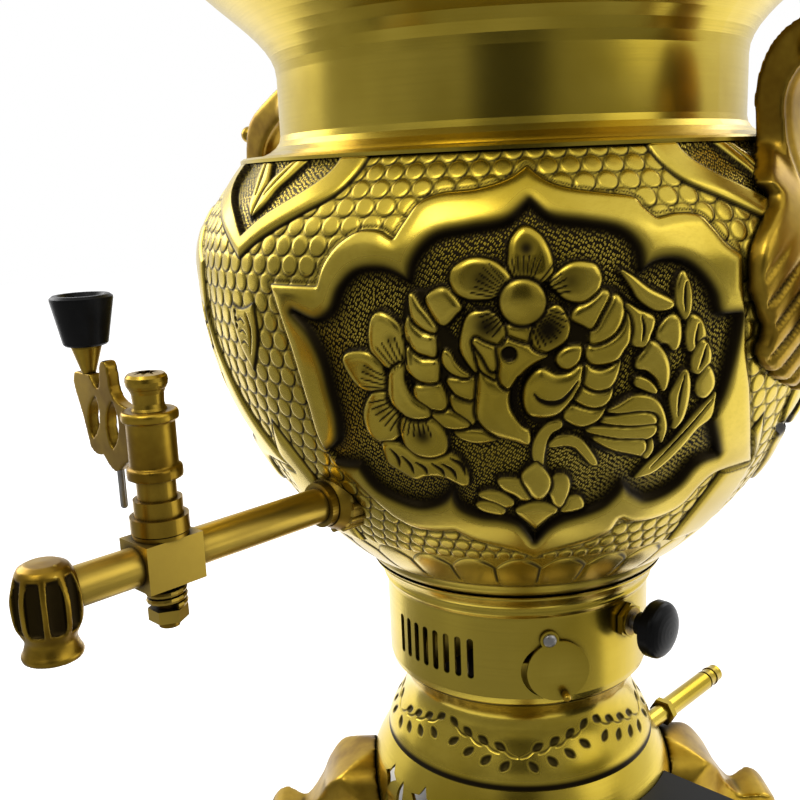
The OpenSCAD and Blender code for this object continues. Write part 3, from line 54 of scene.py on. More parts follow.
# Colours of the metal, as linear red, green and blue.
GOLD, DEEP_GOLD = (0.65, 0.49, 0.07), (0.40, 0.28, 0.02)
TAP_BRASS, DEEP_TAP_BRASS = (0.47, 0.31, 0.035), (0.25, 0.145, 0.015)
BRONZE, DEEP_BRONZE, RUBBED_BRONZE = (0.47, 0.30, 0.03), (0.2, 0.11, 0.01), (0.62, 0.43, 0.07)
# the dark brown of patina, also used for painted shade
DARK_PATINA_AND_SHADE = (0.018, 0.013, 0.006)
# black, for the brass within a radius of the axis
INSIDE_BLACK = (0.004, 0.004, 0.004)


# ---------------------------------------------------------------- finishes
class Socket:
    """A shader socket that arithmetic can be done on; each operation adds its Math node."""

    def __init__(self, tree, out):
        self.tree, self.out = tree, out

    def math(self, operation, *values):
        return self.tree.add("ShaderNodeMath", {"operation": operation}, *values)

    def __add__(self, other): return self.math("ADD", self, other)
    def __radd__(self, other): return self.math("ADD", other, self)
    def __sub__(self, other): return self.math("SUBTRACT", self, other)
    def __rsub__(self, other): return self.math("SUBTRACT", other, self)
    def __mul__(self, other): return self.math("MULTIPLY", self, other)
    def __rmul__(self, other): return self.math("MULTIPLY", other, self)

    def at_least(self, other): return self.math("MAXIMUM", self, other)
    def at_most(self, other): return self.math("MINIMUM", self, other)

    def between(self, low, high):
        """0 below low, 1 above high, and a smooth step between them."""
        smooth = {"interpolation_type": "SMOOTHSTEP"}
        return self.tree.add("ShaderNodeMapRange", smooth, self, low, high, 0.0, 1.0)


class Tree:
    """A shader's nodes, which add() puts more in."""

    def __init__(self, owner):
        owner.use_nodes = True
        self.nodes, self.links = owner.node_tree.nodes, owner.node_tree.links

    def add(self, kind, settings=None, *values, output=0, **named):
        node = self.nodes.new(kind)
        for key, value in (settings or {}).items():
            setattr(node, key, value)
        for socket, value in [*zip(node.inputs, values), *((node.inputs[k], v) for k, v in named.items())]:
            self.feed(socket, value)
        return Socket(self, node.outputs[output])

    def feed(self, socket, value):
        if isinstance(value, Socket):
            self.links.new(value.out, socket)
        elif value is not None:
            socket.default_value = value

    def seen_directly(self):
        """1 on rays of the camera and of mirrors and glass, 0 on rays that light something."""
        rays = self.add("ShaderNodeLightPath").out.node.outputs
        seen = [Socket(self, rays[f"Is {kind} Ray"]) for kind in ("Camera", "Glossy", "Transmission")]
        return seen[0].at_least(seen[1]).at_least(seen[2])


class Finish(Tree):
    """A material under construction, which dress() ends."""

    def __init__(self, name):
        self.material = bpy.data.materials.new(name)
        super().__init__(self.material)
        self.skin = self.nodes["Principled BSDF"]

    def place(self):
        """Where a point lies on its own piece."""
        return self.add("ShaderNodeTexCoord", output=3)

    def from_axis(self):
        """How far a point lies from the samovar's axis, in metres."""
        flat = self.add("ShaderNodeVectorMath", {"operation": "MULTIPLY"}, self.place(), (1, 1, 0))
        return self.add("ShaderNodeVectorMath", {"operation": "LENGTH"}, flat, output=1)

    def kept(self, name):
        """What is kept on the points of a mesh under a name."""
        return self.add("ShaderNodeAttribute", {"attribute_name": name}, output=2)

    def noise(self, scale, detail=4, rough=0.6, stretch=None):
        """Noise in the metal, in cycles to the metre; stretch squeezes it along each axis."""
        place = self.place()
        if stretch:
            place = self.add("ShaderNodeMapping", {"vector_type": "POINT"}, place, Scale=stretch)
        return self.add("ShaderNodeTexNoise", None, Vector=place, Scale=scale, Detail=detail, Roughness=rough)

    def blend(self, share, a, b):
        """Colour a where share is 0, and colour b where it is 1."""
        node = self.nodes.new("ShaderNodeMix")
        node.data_type = "RGBA"
        colour = [s for s in node.inputs if s.type == "RGBA"]
        for socket, value in ((node.inputs["Factor"], share), (colour[0], a), (colour[1], b)):
            self.feed(socket, (*value, 1) if isinstance(value, tuple) and len(value) == 3 else value)
        return Socket(self, [s for s in node.outputs if s.type == "RGBA"][0])

    def patina_and_shade_in_recesses(self, reach, low=0.35, high=0.9):
        """1 in corners and recesses that polishing misses, for patina and painted shade, 0 in the open."""
        open_air = self.add("ShaderNodeAmbientOcclusion", {"samples": 6}, Distance=reach, output=1)
        return 1 - open_air.between(low, high)

    def worn_edge(self):
        """1 on the edges that hands and the cloth rub bright."""
        return self.add("ShaderNodeNewGeometry", output=7).between(0.52, 0.6)

    def bump(self, height, depth, strength):
        return self.add("ShaderNodeBump", None, Strength=strength, Distance=depth, Height=height)

    def dress(self, colour, roughness, metallic=1.0, normal=None, **constants):
        """The finished material. Constants are set on its shader's own sockets."""
        for key, value in (("Base Color", colour), ("Roughness", roughness), ("Metallic", metallic),
                           ("Normal", normal)):
            self.feed(self.skin.inputs[key], (*value, 1) if isinstance(value, tuple) else value)
        for key, value in constants.items():
            self.skin.inputs[key.replace("_", " ")].default_value = value
        return self.material


LATHE_MARKS, CLOTH_MARKS = (14, 14, 3400), (900, 900, 900)     # cycles to the metre along each axis
# the brass is black within this radius of the axis, fading over this width
BLACK_INSIDE_R, BLACK_INSIDE_EDGE = 0.0545, 0.0006                             # metres


def brushed_brass(name, bright=GOLD, deep=DEEP_GOLD, shine=0.15, lathe=True, shelter=0.006, black_inside_r=0):
    """Spun brass, brushed round, with patina and painted shade in its recesses, and black within the given
    radius.
    """
    f = Finish(name)
    tarnish = f.noise(9, rough=0.55)
    rings = f.noise(1, 3, 0.65, LATHE_MARKS if lathe else CLOTH_MARKS)
    smears = f.noise(26, 5, 0.62, (1, 1, 0.6))
    recess_patina_and_shade = f.patina_and_shade_in_recesses(shelter)
    colour = f.blend(tarnish.between(0.35, 0.7), bright, deep)
    colour = f.blend(rings.between(0.4, 0.8) * 0.3, colour, deep)
    # patina and painted shade in corners and recesses
    colour = f.blend(recess_patina_and_shade * 0.9, colour, DARK_PATINA_AND_SHADE)
    # black within the given radius of the axis
    if black_inside_r:
        colour = f.blend(f.from_axis().between(black_inside_r, black_inside_r + BLACK_INSIDE_EDGE), INSIDE_BLACK, colour)
    roughness = shine + 0.08 * smears + 0.08 * rings + 0.25 * recess_patina_and_shade
    return f.dress(colour, roughness, normal=f.bump(rings, 0.000006, 0.5), Anisotropic=0.5 if lathe else 0.0)


def cast_bronze(name):
    """Cast brass under a brown patina, with painted shade in its recesses, rubbed bright on its edges."""
    f = Finish(name)
    clouds = f.noise(38)
    grain = f.noise(900, 2)
    # patina and painted shade in recesses, with the kept patina map
    recess_patina_and_shade = f.patina_and_shade_in_recesses(0.007, 0.45, 0.98).at_least(f.kept("patina"))
    colour = f.blend(clouds.between(0.3, 0.72), BRONZE, DEEP_BRONZE)
    colour = f.blend(f.worn_edge() * 0.7, colour, RUBBED_BRONZE)
    colour = f.blend(recess_patina_and_shade * 0.95, colour, DARK_PATINA_AND_SHADE)
    return f.dress(colour, 0.24 + 0.16 * clouds + 0.22 * recess_patina_and_shade, normal=f.bump(grain, 0.00003, 0.4))


# The chased urn's own map: millimetres round the belly and up the rows of its mesh. Its matting is punched
# with dashes that slant, in degrees and millimetres.
MAP_ACROSS, MAP_UP = 785.4, 204.6
DASH_TURN, DASH_LONG, DASH_HIGH = 58, 1.5, 0.78


def chased_brass(name):
    """Bright on the high ground, black in the tool marks and the painted shade, with slanted dashes on the
    matting.
    """
    f = Finish(name)
    patina, matting = f.kept("patina"), f.kept("matting")
    uv = f.add("ShaderNodeUVMap", {"uv_map": "OFBake"})
    sheet_mm = f.add("ShaderNodeMapping", {"vector_type": "POINT"}, uv, Scale=(MAP_ACROSS, MAP_UP, 1))
    slanted = f.add("ShaderNodeMapping", {"vector_type": "TEXTURE"}, sheet_mm,
                    Rotation=(0, 0, math.radians(DASH_TURN)), Scale=(DASH_LONG, DASH_HIGH, 1))
    flat = {"voronoi_dimensions": "2D"}
    punch = f.add("ShaderNodeTexVoronoi", flat, Vector=slanted, Scale=1.0, Randomness=0.55)
    dots = (1 - punch.between(0.24, 0.44)) * matting
    tarnish = f.noise(14, rough=0.55)
    brush = f.noise(1, 3, stretch=(500, 500, 900))
    # patina and painted shade in recesses
    recess_patina_and_shade = f.patina_and_shade_in_recesses(0.004, 0.2, 0.8)
    dark = (patina.at_least(recess_patina_and_shade * 0.7) + matting * 0.8).at_most(1.0)
    dark = (dark - dots * 0.8).at_least(patina * 0.97)
    colour = f.blend(tarnish.between(0.3, 0.72), GOLD, DEEP_GOLD)
    colour = f.blend(brush.between(0.4, 0.8) * 0.25, colour, DEEP_GOLD)
    colour = f.blend(dark.between(0.0, 0.95), colour, DARK_PATINA_AND_SHADE)
    roughness = 0.2 + 0.08 * tarnish + 0.3 * dark
    return f.dress(colour, roughness, normal=f.bump(dots + 0.05 * brush, 0.00025, 0.7))


def gloss_black(name):
    f = Finish(name)
    haze = f.noise(60)
    scuffs = f.noise(1, 2, stretch=(500, 500, 90))
    colour = f.blend(haze.between(0.4, 0.8), (0.004, 0.004, 0.004), (0.01, 0.01, 0.01))
    roughness = 0.22 + 0.14 * haze + 0.06 * scuffs
    return f.dress(colour, roughness, 0.0, f.bump(scuffs, 0.00001, 0.3), Specular_IOR_Level=0.12)


def mottled(name, light, dark, patches, share, dull, grain, bump, metallic=0.0, **constants):
    """Two colours in patches, which dull it by up to the second number of dull, over a fine grain."""
    f = Finish(name)
    spots = f.noise(*patches)
    colour = f.blend(spots.between(*share), light, dark)
    return f.dress(colour, dull[0] + dull[1] * spots, metallic, f.bump(f.noise(*grain), *bump), **constants)


def glazed_ceramic(name):
    f = Finish(name)
    specks = f.noise(700, 3)
    soot = f.noise(80)
    colour = f.blend(soot.between(0.5, 0.8), (0.78, 0.75, 0.69), (0.42, 0.38, 0.32))
    colour = f.blend(specks.between(0.6, 0.75) * 0.4, colour, (0.3, 0.27, 0.22))
    return f.dress(colour, 0.16 + 0.2 * soot, 0.0, f.bump(specks, 0.00002, 0.3))


FINISHES = {
    "antique_brass": brushed_brass("spun brass"),
    "bronzed_brass": cast_bronze("bronzed casting"),
    "plain_brass": brushed_brass("turned brass", TAP_BRASS, DEEP_TAP_BRASS, 0.22, lathe=False, shelter=0.004),
    "black_knob": gloss_black("gloss black"),
    "black_housing": mottled(
        "moulded black", (0.006, 0.006, 0.006), (0.014, 0.014, 0.013), patches=(45, 4, 0.65),
        share=(0.5, 0.85), dull=(0.36, 0.2), grain=(1700, 2), bump=(0.00005, 0.5), Specular_IOR_Level=0.2),
    "steel": mottled(
        "grey steel", (0.42, 0.41, 0.39), (0.2, 0.19, 0.18), patches=(60,), share=(0.4, 0.8),
        dull=(0.26, 0.2), grain=(1, 3, 0.6, (1500, 1500, 1500)), bump=(0.00001, 0.4), metallic=1.0),
    "burner_iron": mottled(
        "burner iron", (0.055, 0.05, 0.047), (0.11, 0.07, 0.045), patches=(55,), share=(0.35, 0.7),
        dull=(0.5, 0.25), grain=(420, 5, 0.65), bump=(0.00015, 0.6), metallic=0.55),
    "seal_rubber": mottled(
        "seal rubber", (0.014, 0.014, 0.014), (0.04, 0.04, 0.04), patches=(120,), share=(0.4, 0.8),
        dull=(0.6, 0.2), grain=(120,), bump=(0.00004, 0.4)),
    "ceramic": glazed_ceramic("glazed ceramic")}
CHASED = chased_brass("chased brass")


def put_on(piece, material):
    """Gives every slot of a piece one finish."""
    if not piece.material_slots:
        piece.data.materials.append(material)
    for slot in piece.material_slots:
        slot.link = "OBJECT"
        slot.material = material


def stand_in(piece, node, material, body="root"):
    """Puts a finished piece in the place of a node of the solids."""
    put_on(piece, material)
    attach(piece, body)
    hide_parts(node)


def into_scene(name, data):
    piece = bpy.data.objects.new(name, data)
    bpy.context.scene.collection.objects.link(piece)
    return piece


for part in frame["record"]["subparts"]:
    put_on(frame["nodes"][part["node"]], FINISHES[part["material_slot"]])
# this band is black within a radius of the axis
put_on(frame["nodes"]["burner_band"], brushed_brass("band black inside", black_inside_r=BLACK_INSIDE_R))


# ---------------------------------------------------------------- the chased sheet
# A chased sheet is a height map in millimetres. Its columns are the turn round the urn, as millimetres on the
# belly, and its rows are the way up the urn's side. A shape drawn on it is a loop of points, each across and
# up, which a curve is passed through; a point given twice is a sharp corner. A drawn outline is written as
# one run of numbers, across,up after across,up.

CURVE_STEPS = 6                    # points of a curve from one given point to the next


def curve_through(points, closed=True):
    """The points of a smooth line through the given ones."""
    points = list(np.array(points, float).reshape(-1, 2))
    corners = [i for i, p in enumerate(points) if i and np.allclose(p, points[i - 1])]
    if closed:
        if corners:
            points = points[corners[0]:] + points[:corners[0]]
            points.append(points[0])
        else:
            points = points[-1:] + points + points[:2]
    drawn, runs, run = [], [], [points[0]]
    for p in points[1:]:
        if np.allclose(p, run[-1]):
            runs.append(run)
            run = [p]
        else:
            run.append(p)
    runs.append(run)
    loop = closed and not corners
    for run in runs:
        if len(run) < 2:
            continue
        ends = run if loop else [2 * run[0] - run[1]] + run + [2 * run[-1] - run[-2]]
        for a, b, c, d in zip(ends, ends[1:], ends[2:], ends[3:]):
            for t in np.arange(CURVE_STEPS) / CURVE_STEPS:
                drawn.append(0.5 * (2 * b + (c - a) * t + (2 * a - 5 * b + 4 * c - d) * t ** 2
                                    + (3 * b - a - 3 * c + d) * t ** 3))
        if not loop:
            drawn.append(run[-1])
    return np.array(drawn)


def ring_of(centre, radius, points):
    return [(centre[0] + radius * math.cos(t), centre[1] + radius * math.sin(t))
            for t in np.arange(points) * math.tau / points]


def ease(x, low, high):
    """0 below low, 1 above high, and a smooth step between them."""
    t = np.clip((x - low) / (high - low), 0, 1)
    return t * t * (3 - 2 * t)


def bell(x, middle, width):
    """1 in the middle, and falling off on both sides of it within about the width."""
    return np.exp(-((x - middle) / width) ** 2)


def quarter_round(share):
    """Rise of a quarter circle over a share of its width."""
    return np.sqrt(1 - (1 - np.clip(share, 0, 1)) ** 2)


def blurred(values, rounds):
    """Values spread a little into their neighbours, round the turn and up the side."""
    for _ in range(rounds):
        values = 0.5 * values + 0.25 * (np.roll(values, 1, 1) + np.roll(values, -1, 1))
        above, below = np.vstack([values[1:], values[-1:]]), np.vstack([values[:1], values[:-1]])
        values = 0.5 * values + 0.25 * (above + below)
    return values


# A lobe's edge cuts what lies under it between two depths, and has a dark line round it. It throws a painted
# shadow on matted ground, and has painted shade from a share of its height up, where the lobe above overlaps
# it.
CUT_OUT, CUT_IN = -0.35, 0.25
RIM_IN, RIM_DARK = 0.05, 0.95
SHADOW_WIDE, SHADOW_DARK = 1.5, 0.9
OVERLAP_FROM, OVERLAP_DARK = 0.5, 0.7
MARGIN = 4                         # a shape changes the sheet this far round it
FAN_STEP, FAN_LINE = 7.5, 0.45     # degrees from one line of a fan to the next, and their width


class ChasedSheet:
    """A sheet under the chaser's tools: its height, how dark its patina and painted shade are, and where it
    is matted.
    """

    def __init__(self, across, up):
        self.across, self.up = across, up
        self.height, self.patina, self.matting = (np.zeros((len(up), len(across))) for _ in range(3))

    def near(self, points, margin):
        """The part of the sheet round some points, and how far across and up each place of it is."""
        low, high = points.min(0) - margin, points.max(0) + margin
        rows = slice(*np.searchsorted(self.up, (low[1], high[1])))
        columns = slice(*np.searchsorted(self.across, (low[0], high[0])))
        return (rows, columns), *np.meshgrid(self.across[columns], self.up[rows])

    def to_line(self, line, x, y):
        """Distance to a line of points, and how far along the line its nearest place is, from 0 to 1."""
        best, along = np.full(x.shape, 1e9), np.zeros(x.shape)
        for i, (p, q) in enumerate(zip(line[:-1], line[1:])):
            way = q - p
            t = np.clip(((x - p[0]) * way[0] + (y - p[1]) * way[1]) / max(way @ way, 1e-9), 0, 1)
            far = np.hypot(x - p[0] - t * way[0], y - p[1] - t * way[1])
            nearer = far < best
            best[nearer] = far[nearer]
            along[nearer] = (i + t[nearer]) / (len(line) - 1)
        return best, along

    def inside(self, loop, x, y):
        """Depth inside a closed loop, negative outside it."""
        ring = np.vstack([loop, loop[:1]])
        depth, _ = self.to_line(ring, x, y)
        odd = np.zeros(x.shape, bool)
        for p, q in zip(ring[:-1], ring[1:]):
            if p[1] != q[1]:
                odd ^= ((p[1] > y) != (q[1] > y)) & (x < (q[0] - p[0]) * (y - p[1]) / (q[1] - p[1]) + p[0])
        return np.where(odd, depth, -depth)

    def lay_over(self, at, share, height, patina=0, matting=0):
        """Covers a place with new metal, as far as the share says."""
        for field, value in ((self.height, height), (self.patina, patina), (self.matting, matting)):
            field[at] = field[at] * (1 - share) + value * share

    def darken(self, at, dark):
        self.patina[at] = np.maximum(self.patina[at], dark)

    def lobe(self, points, top, edge, roll, line=0.7, matted=0.0, dark=0.0, shade=0.0, grow=0.0):
        """A domed lobe: its edge and its top are heights, and its side rolls over within the width roll.

        Shade is how dark the painted shade on its upper part is, where the lobe above overlaps it, and grow
        widens it."""
        loop = curve_through(points)
        at, x, y = self.near(loop, MARGIN)
        depth = self.inside(loop, x, y) + grow
        cover = ease(depth, CUT_OUT, CUT_IN)
        # painted shadow of the lobe on the matted ground round it
        self.darken(at, SHADOW_DARK * bell(np.minimum(depth, 0), 0, SHADOW_WIDE) * self.matting[at])
        self.lay_over(at, cover, edge + (top - edge) * quarter_round(depth / roll), dark, matted)
        # painted shade on the upper part, where the lobe above overlaps it
        share = (y - loop[:, 1].min()) / np.ptp(loop[:, 1])
        overlap = OVERLAP_DARK * shade * ease(share, OVERLAP_FROM, 1.0) * cover
        self.darken(at, np.maximum(RIM_DARK * bell(depth, RIM_IN, line), overlap))

    def dome(self, centre, radius, top, edge, line=0.5):
        self.lobe(ring_of(centre, radius, 24), top, edge, radius, line)

    def shade_spot(self, centre, radius, dark):
        """A soft hollow, darkened with painted shade."""
        at, x, y = self.near(np.array([centre, centre], float), 2 * radius)
        spot = np.exp(-((x - centre[0]) ** 2 + (y - centre[1]) ** 2) / radius ** 2)
        self.height[at] -= 0.4 * dark * spot
        self.darken(at, dark * spot)

    def groove(self, points, width, depth=0.7, taper=0.8):
        """A dark tool line, drawn out to a point at both ends."""
        line = curve_through(points, closed=False)
        at, x, y = self.near(line, width + 1.5)
        far, along = self.to_line(line, x, y)
        half = 0.5 * width * (1 - taper + taper * np.sin(math.pi * np.clip(along, 0.02, 0.98)))
        cut = ease(-far, -half - 0.35, -half * 0.3)
        self.height[at] -= depth * cut
        self.darken(at, cut)

    def fan(self, centre, start, middle, half, length):
        """Fine lines that run out of a flower's heart."""
        for turn in np.radians(np.arange(middle - half, middle + half + 1, FAN_STEP)):
            way = np.array([math.cos(turn), math.sin(turn)])
            near_end = np.array(centre) + start * way
            line = [near_end, near_end + 0.5 * length * way, near_end + length * way]
            self.groove(line, FAN_LINE, 0.2, 0.5)


FRAME_RISE, FIELD_LEVEL = 1.6, -1.5
FRAME_ROLL, ROLL_SHARE = 5.0, 0.45      # the frame rolls over within this width, or this share of its own
BORDER_IN, BORDER_WIDE, BORDER_DEEP = 0.4, 0.5, 0.35
TICK_PITCH, TICKS_OUT, TICKS_WIDE, TICKS_DEEP = 0.9, 0.9, 0.7, 0.25
SHADE_IN, SHADE_OUT = 4.5, 2.6          # the shade under the frame, into the field and up the frame's side

# The frame round a cartouche and the field in it, clockwise from their top tips.
FRAME_OUTLINE = [
    -8,177, -8,177, -2,171, 5,168, 15,166, 25,164, 28,160, 31,157, 31,157, 38,158, 46,157, 50,153, 54,148,
    60,144, 60,144, 61,130, 64,116, 69,104, 76,90, 85,77, 95,66, 95,66, 82,66.5, 70,66, 65,62, 61,54, 55,50,
    45,48, 36,48.5, 30,51, 30,51, 28,45, 20,40, 10,37, 0,34, -5,30, -5,30, -10,34, -20,38, -32,42, -40,47,
    -40,47, -50,46, -60,47, -68,52, -68,52, -74,60, -83,72, -89,85, -89,98, -90,112, -93,126, -98,139,
    -98,139, -77,139, -77,139, -74,146, -69,152, -62,156, -55,156, -50,153.5, -50,153.5, -47,159, -43,165,
    -36,168, -25,169, -15,172]
FIELD_OUTLINE = [
    -8,163, -8,163, -2,157.5, 8,155.5, 18,153, 23,148, 24,141, 24,141, 30,143.5, 37,143, 43,139, 48,133,
    51,126.5, 59,125.5, 59,125.5, 58,112, 57,100, 54.5,92, 54.5,92, 59,85, 65,76, 65,76, 58,75, 54,72, 51,66,
    45,62, 38,61, 31,65, 31,65, 26,69, 24,65, 20,60, 13,57, 5,54.5, -1,50, -5.5,43, -5.5,43, -9,49, -13,53.5,
    -20,56, -28,57, -35,61, -37,69, -37,69, -43,63, -52,60, -61,62, -69,67, -73,76, -73,76, -82,76, -91,78,
    -91,78, -80,84, -76,93, -76,104, -77,115, -81,124, -87,130, -87,130, -78,127.5, -71,131, -67,138,
    -61,143, -52,143.5, -44,140, -44,140, -42,147, -36,153, -26,155, -15,157]

# The dark ground under each group of feathers.
UNDERLAYS = [
    [-45,137, -47.5,128, -48.6,118, -46.5,109, -46,103, -42,96.5, -35,91, -26,87.5, -18,90, -24,95,
     -25.5,104, -25,112, -29,120, -34,127, -31,133, -34,139, -39,138],
    [12,137, 17.5,136, 21.5,130, 22,121, 19,112, 17.5,103, 15,95, 8,92, 1,92, -9,96, -11.5,103, -10.5,110,
     -6,115, 2,121, 2,129, 6,134],
    [14,98, 20,102, 28,104, 35,101, 39.5,93, 39.5,84, 33,78.5, 22,81.5, 13,85, 9,92]]

# Lobes of the chasing, in the order in which they overlap: top, roll and shade, then the outline. The shade
# is how dark the painted shade is on the lobe's upper side, where the one above overlaps it.
STEMS = [
    (0.2, 2, 0, [55,100, 55,100, 48,93, 42,84, 35,77, 31,71, 31,71, 37,72, 42,76, 47,82, 51,88, 56,92]),
    (0.2, 1.6, 0, [-4.5,79, -7,81, -7.5,86, -6,91, -3,94.5, 0.5,95.3, 1,93.5, -2,91.5, -3.7,87.5, -4.3,82]),
    (0.2, 1.6, 0, [-2,86.5, 0,89.3, 4,89.8, 8,88, 11,84.5, 14.5,79, 13,78.5, 9.5,82.5, 6.5,85.7, 3,86.8])]
LOTUS = [
    (0.3, 2.6, 0.5, [0.5,74.3, 4,74, 5.8,70.5, 5.5,65, 4,60.5, 2,60, 0.2,64, -0.7,68]),
    (0.3, 2.6, 0.3, [-19.8,72.5, -17,73.6, -13,73, -9.5,69.5, -8,65, -11,64, -14,66.5, -18,69]),
    (0.3, 2.4, 0.2, [7,64.5, 10,64.3, 12.3,61.5, 12.3,59, 8,57.5, 4.5,58, 6,61]),
    (0.3, 2.4, 0.2, [-27.3,66, -24.5,67.7, -20,67.5, -15.5,64, -15,61.5, -19,60.3, -22,62.8]),
    (0.2, 2, 0.1, [-28.8,61.5, -26,62.8, -22,62, -18.5,59.5, -19,57, -23,57.5, -27,59]),
    (0.7, 3.2, 0, [-6.5,80, -6.5,80, -10,77, -11.2,74, -9,69, -6.5,65, -3.8,64.8, -1.5,69, -1.5,73,
     -3.5,76.5]),
    (0.5, 3, 0.3, [-5.5,49.5, -5.5,49.5, -9,53, -13.5,58.5, -10,61.3, -6,62.5, -1.5,61.5, 2.3,58.3, -1,54.5])]
TAIL = [
    (0.6, 1.8, 0, [16.5,98.2, 16.5,98.2, 20,99.8, 24.5,102.3, 29,101.8, 33,99.5, 36,95, 37.8,89.8, 37.3,85,
     37.3,85, 35.3,90, 33.3,94.8, 30.5,97, 25,97.3, 20,97.5]),
    (0.6, 1.8, 0, [14,95, 20,95.8, 26,96.3, 31.5,95.3, 33.3,92.6, 28,92.3, 20,93.3]),
    (0.6, 1.8, 0, [10,92.3, 17,92, 25,91, 33,91, 33.8,88.8, 31,87, 25,87.3, 18,89, 12,90.8]),
    (0.6, 1.8, 0, [12.5,88.8, 20,87, 29.5,86, 31.6,83.5, 31,80.6, 26,82, 19,84.3]),
    (0.3, 1, 0, [33.2,86, 34.4,82.5, 33,79.4, 31.8,80.5, 33,82.5])]
LEFT_WING = [
    (0.6, 2.4, 0.5, [-30,92.5, -33.2,92.5, -31.5,90, -27,88.5, -22,89, -19,90.5, -24,92]),
    (0.7, 2.4, 0.6, [-33.3,104.5, -33,101, -31,98, -27.3,95.3, -26.6,99, -26.9,103, -30,103.6]),
    (0.7, 2.4, 0.6, [-34,110, -32,106, -29,104.3, -26.8,104.2, -26.3,107, -26.5,110.6, -30,110.2]),
    (0.5, 1.6, 0, [-34.5,119, -35,116, -33,113, -30,111.6, -27.7,111.5, -29.7,113, -31.7,115.4, -33,118.2]),
    (0.8, 2.6, 0.5, [-41,99.8, -39.5,97, -36.5,94.2, -32.5,93.5, -28.7,94.5, -30.2,96.6, -35,99.3]),
    (0.9, 2.8, 0.5, [-44.7,107.5, -45,104.6, -43,102, -40,100.4, -36.5,100.2, -35.2,103, -36.3,107.5,
     -38.5,109, -42,107.6]),
    (1, 2.8, 0.5, [-46,119.8, -47.3,116, -46,112.5, -42.5,109.8, -38,109.6, -37,112, -37.2,116, -41.5,116.2,
     -44.5,118]),
    (1, 2.8, 0.5, [-44.6,129.7, -46,127, -45.9,123.5, -43.5,119.7, -40,118.3, -37.5,118.2, -37.6,123.5,
     -41,124.5, -43.5,127]),
    (0.9, 2.4, 0.3, [-44,136.5, -43.8,130, -40.6,126.6, -37,125.5, -38,128.6, -41.5,133]),
    (0.9, 3, 0.6, [-39,134.3, -37,137.3, -33.2,138, -29.3,133, -30.5,131, -34.8,127.6])]
RIGHT_WING = [
    (0.7, 2.8, 0.4, [14.5,99.8, 14,96.8, 11.5,94.5, 7.5,93.6, 3.5,95.6, 2.3,97.5, 4.3,100.2, 8,99,
     11.5,98.2]),
    (0.8, 2.8, 0.5, [16.3,106, 16.5,103, 14.5,100.6, 11.5,100, 7.5,101.4, 4.5,104.3, 6,108.2, 8,105.8,
     11,104.6, 14,104.6]),
    (0.9, 2.8, 0.5, [18.3,115, 17.8,110, 15.8,106.5, 12,105.8, 8.5,107.6, 7,110.5, 8,113.5, 10,112.2,
     13,111.5, 16.5,112.6]),
    (1, 2.8, 0.4, [20,128.5, 21,125, 21,120.8, 19.5,118.3, 17.5,115.4, 14,114.3, 10,114.6, 8.3,117, 9,119.4,
     13,120.3, 17,122.4, 19.3,125.5]),
    (1.1, 3.4, 0.2, [17,134.3, 15,133.3, 12,128, 9.8,124.5, 9.5,121, 13,121.3, 16.5,123.6, 18.5,127.5,
     18.8,131.5]),
    (0.8, 2.8, 0.4, [3.8,128.5, 7,126.5, 9.5,125.5, 11.5,129, 14.3,134.7, 12,135.8, 8,132.5, 5,131]),
    (0.9, 2.4, 0.2, [-0.7,116.5, 1.5,119, 5,119.8, 6.3,119, 5.5,115.5, 3,113.4, 0.5,114]),
    (1.5, 4.5, 0.2, [-5.5,112.9, -9,110, -10.5,106, -10.3,101.5, -8.5,98.3, -4,97.5, 0,98.7, 3,102, 6,107.5,
     6.6,113.3, 3,111.2, -1,110.9])]
BODY = [
    (1.6, 7, 0.25, [-23.7,112, -21.5,110.6, -18.5,109.2, -15.3,107.4, -15.2,103, -14.5,98.5, -12,94,
     -9.3,91.8, -9.3,87.7, -13,88.8, -20,91.3, -24,94.8, -25.5,99, -24.9,105]),
    (0.6, 1.4, 0, [-25,121.4, -25,121.4, -24.2,117, -23.2,113.6, -19.6,111, -19.6,111, -20.8,113.4,
     -23,117.6]),
    (0.7, 1.6, 0, [-26,123.2, -22.4,121.6, -19,119.6, -18.7,115.6, -20.2,113.4, -22.8,118.3]),
    (1.5, 3.4, 0, [-17.6,123.4, -13,123.1, -9,120.9, -4.2,117.4, -4.2,117.4, -8,115.4, -11.5,112.4,
     -14.8,107.9, -17,108.6, -18,111.5, -17.6,115, -18,120])]
LEFT_FLOWER = [
    (0.8, 3.2, 0, [-53.5,114, -57.8,118, -58.6,122.5, -57.3,128.5, -54.5,130.7, -51,129.3, -48.2,126,
     -47.6,120, -48.5,115.5, -51,115]),
    (0.7, 3.2, 0, [-55.5,112, -57,115.5, -61,118, -67,117.3, -69.2,114.8, -67,109.5, -64,106.5, -59,105.5,
     -55,106.8]),
    (0.7, 3.2, 0, [-54.5,104.5, -60,104.1, -64,99, -65.3,94, -64,89, -60.5,86.8, -56.5,87.7, -53.3,90.5,
     -52.3,95, -53.5,99.5]),
    (0.7, 3.2, 0, [-50.5,96, -52,91, -51.3,86, -48.5,83, -43,82, -38.5,83.5, -36.9,87, -37.4,92, -40.5,96,
     -45,97]),
    (1, 3.6, 0, [-53.8,107, -52.8,111.5, -50,114.2, -48.3,114.3, -48.6,109, -46.3,103.4, -42,100.2,
     -41.6,97.6, -45,96.6, -49,97.3, -53,101, -54,103.5]),
    (0.5, 3.2, 0, [-60,86, -60.5,81.5, -60,78, -56,75, -52.5,72.8, -50,72.2, -46,74, -40,74, -36,72,
     -33,70.3, -31,71.5, -31.2,76.5, -33,81, -35.5,83, -38.5,81.8, -43,80.4, -48,81, -52,84.5, -55,86.3])]
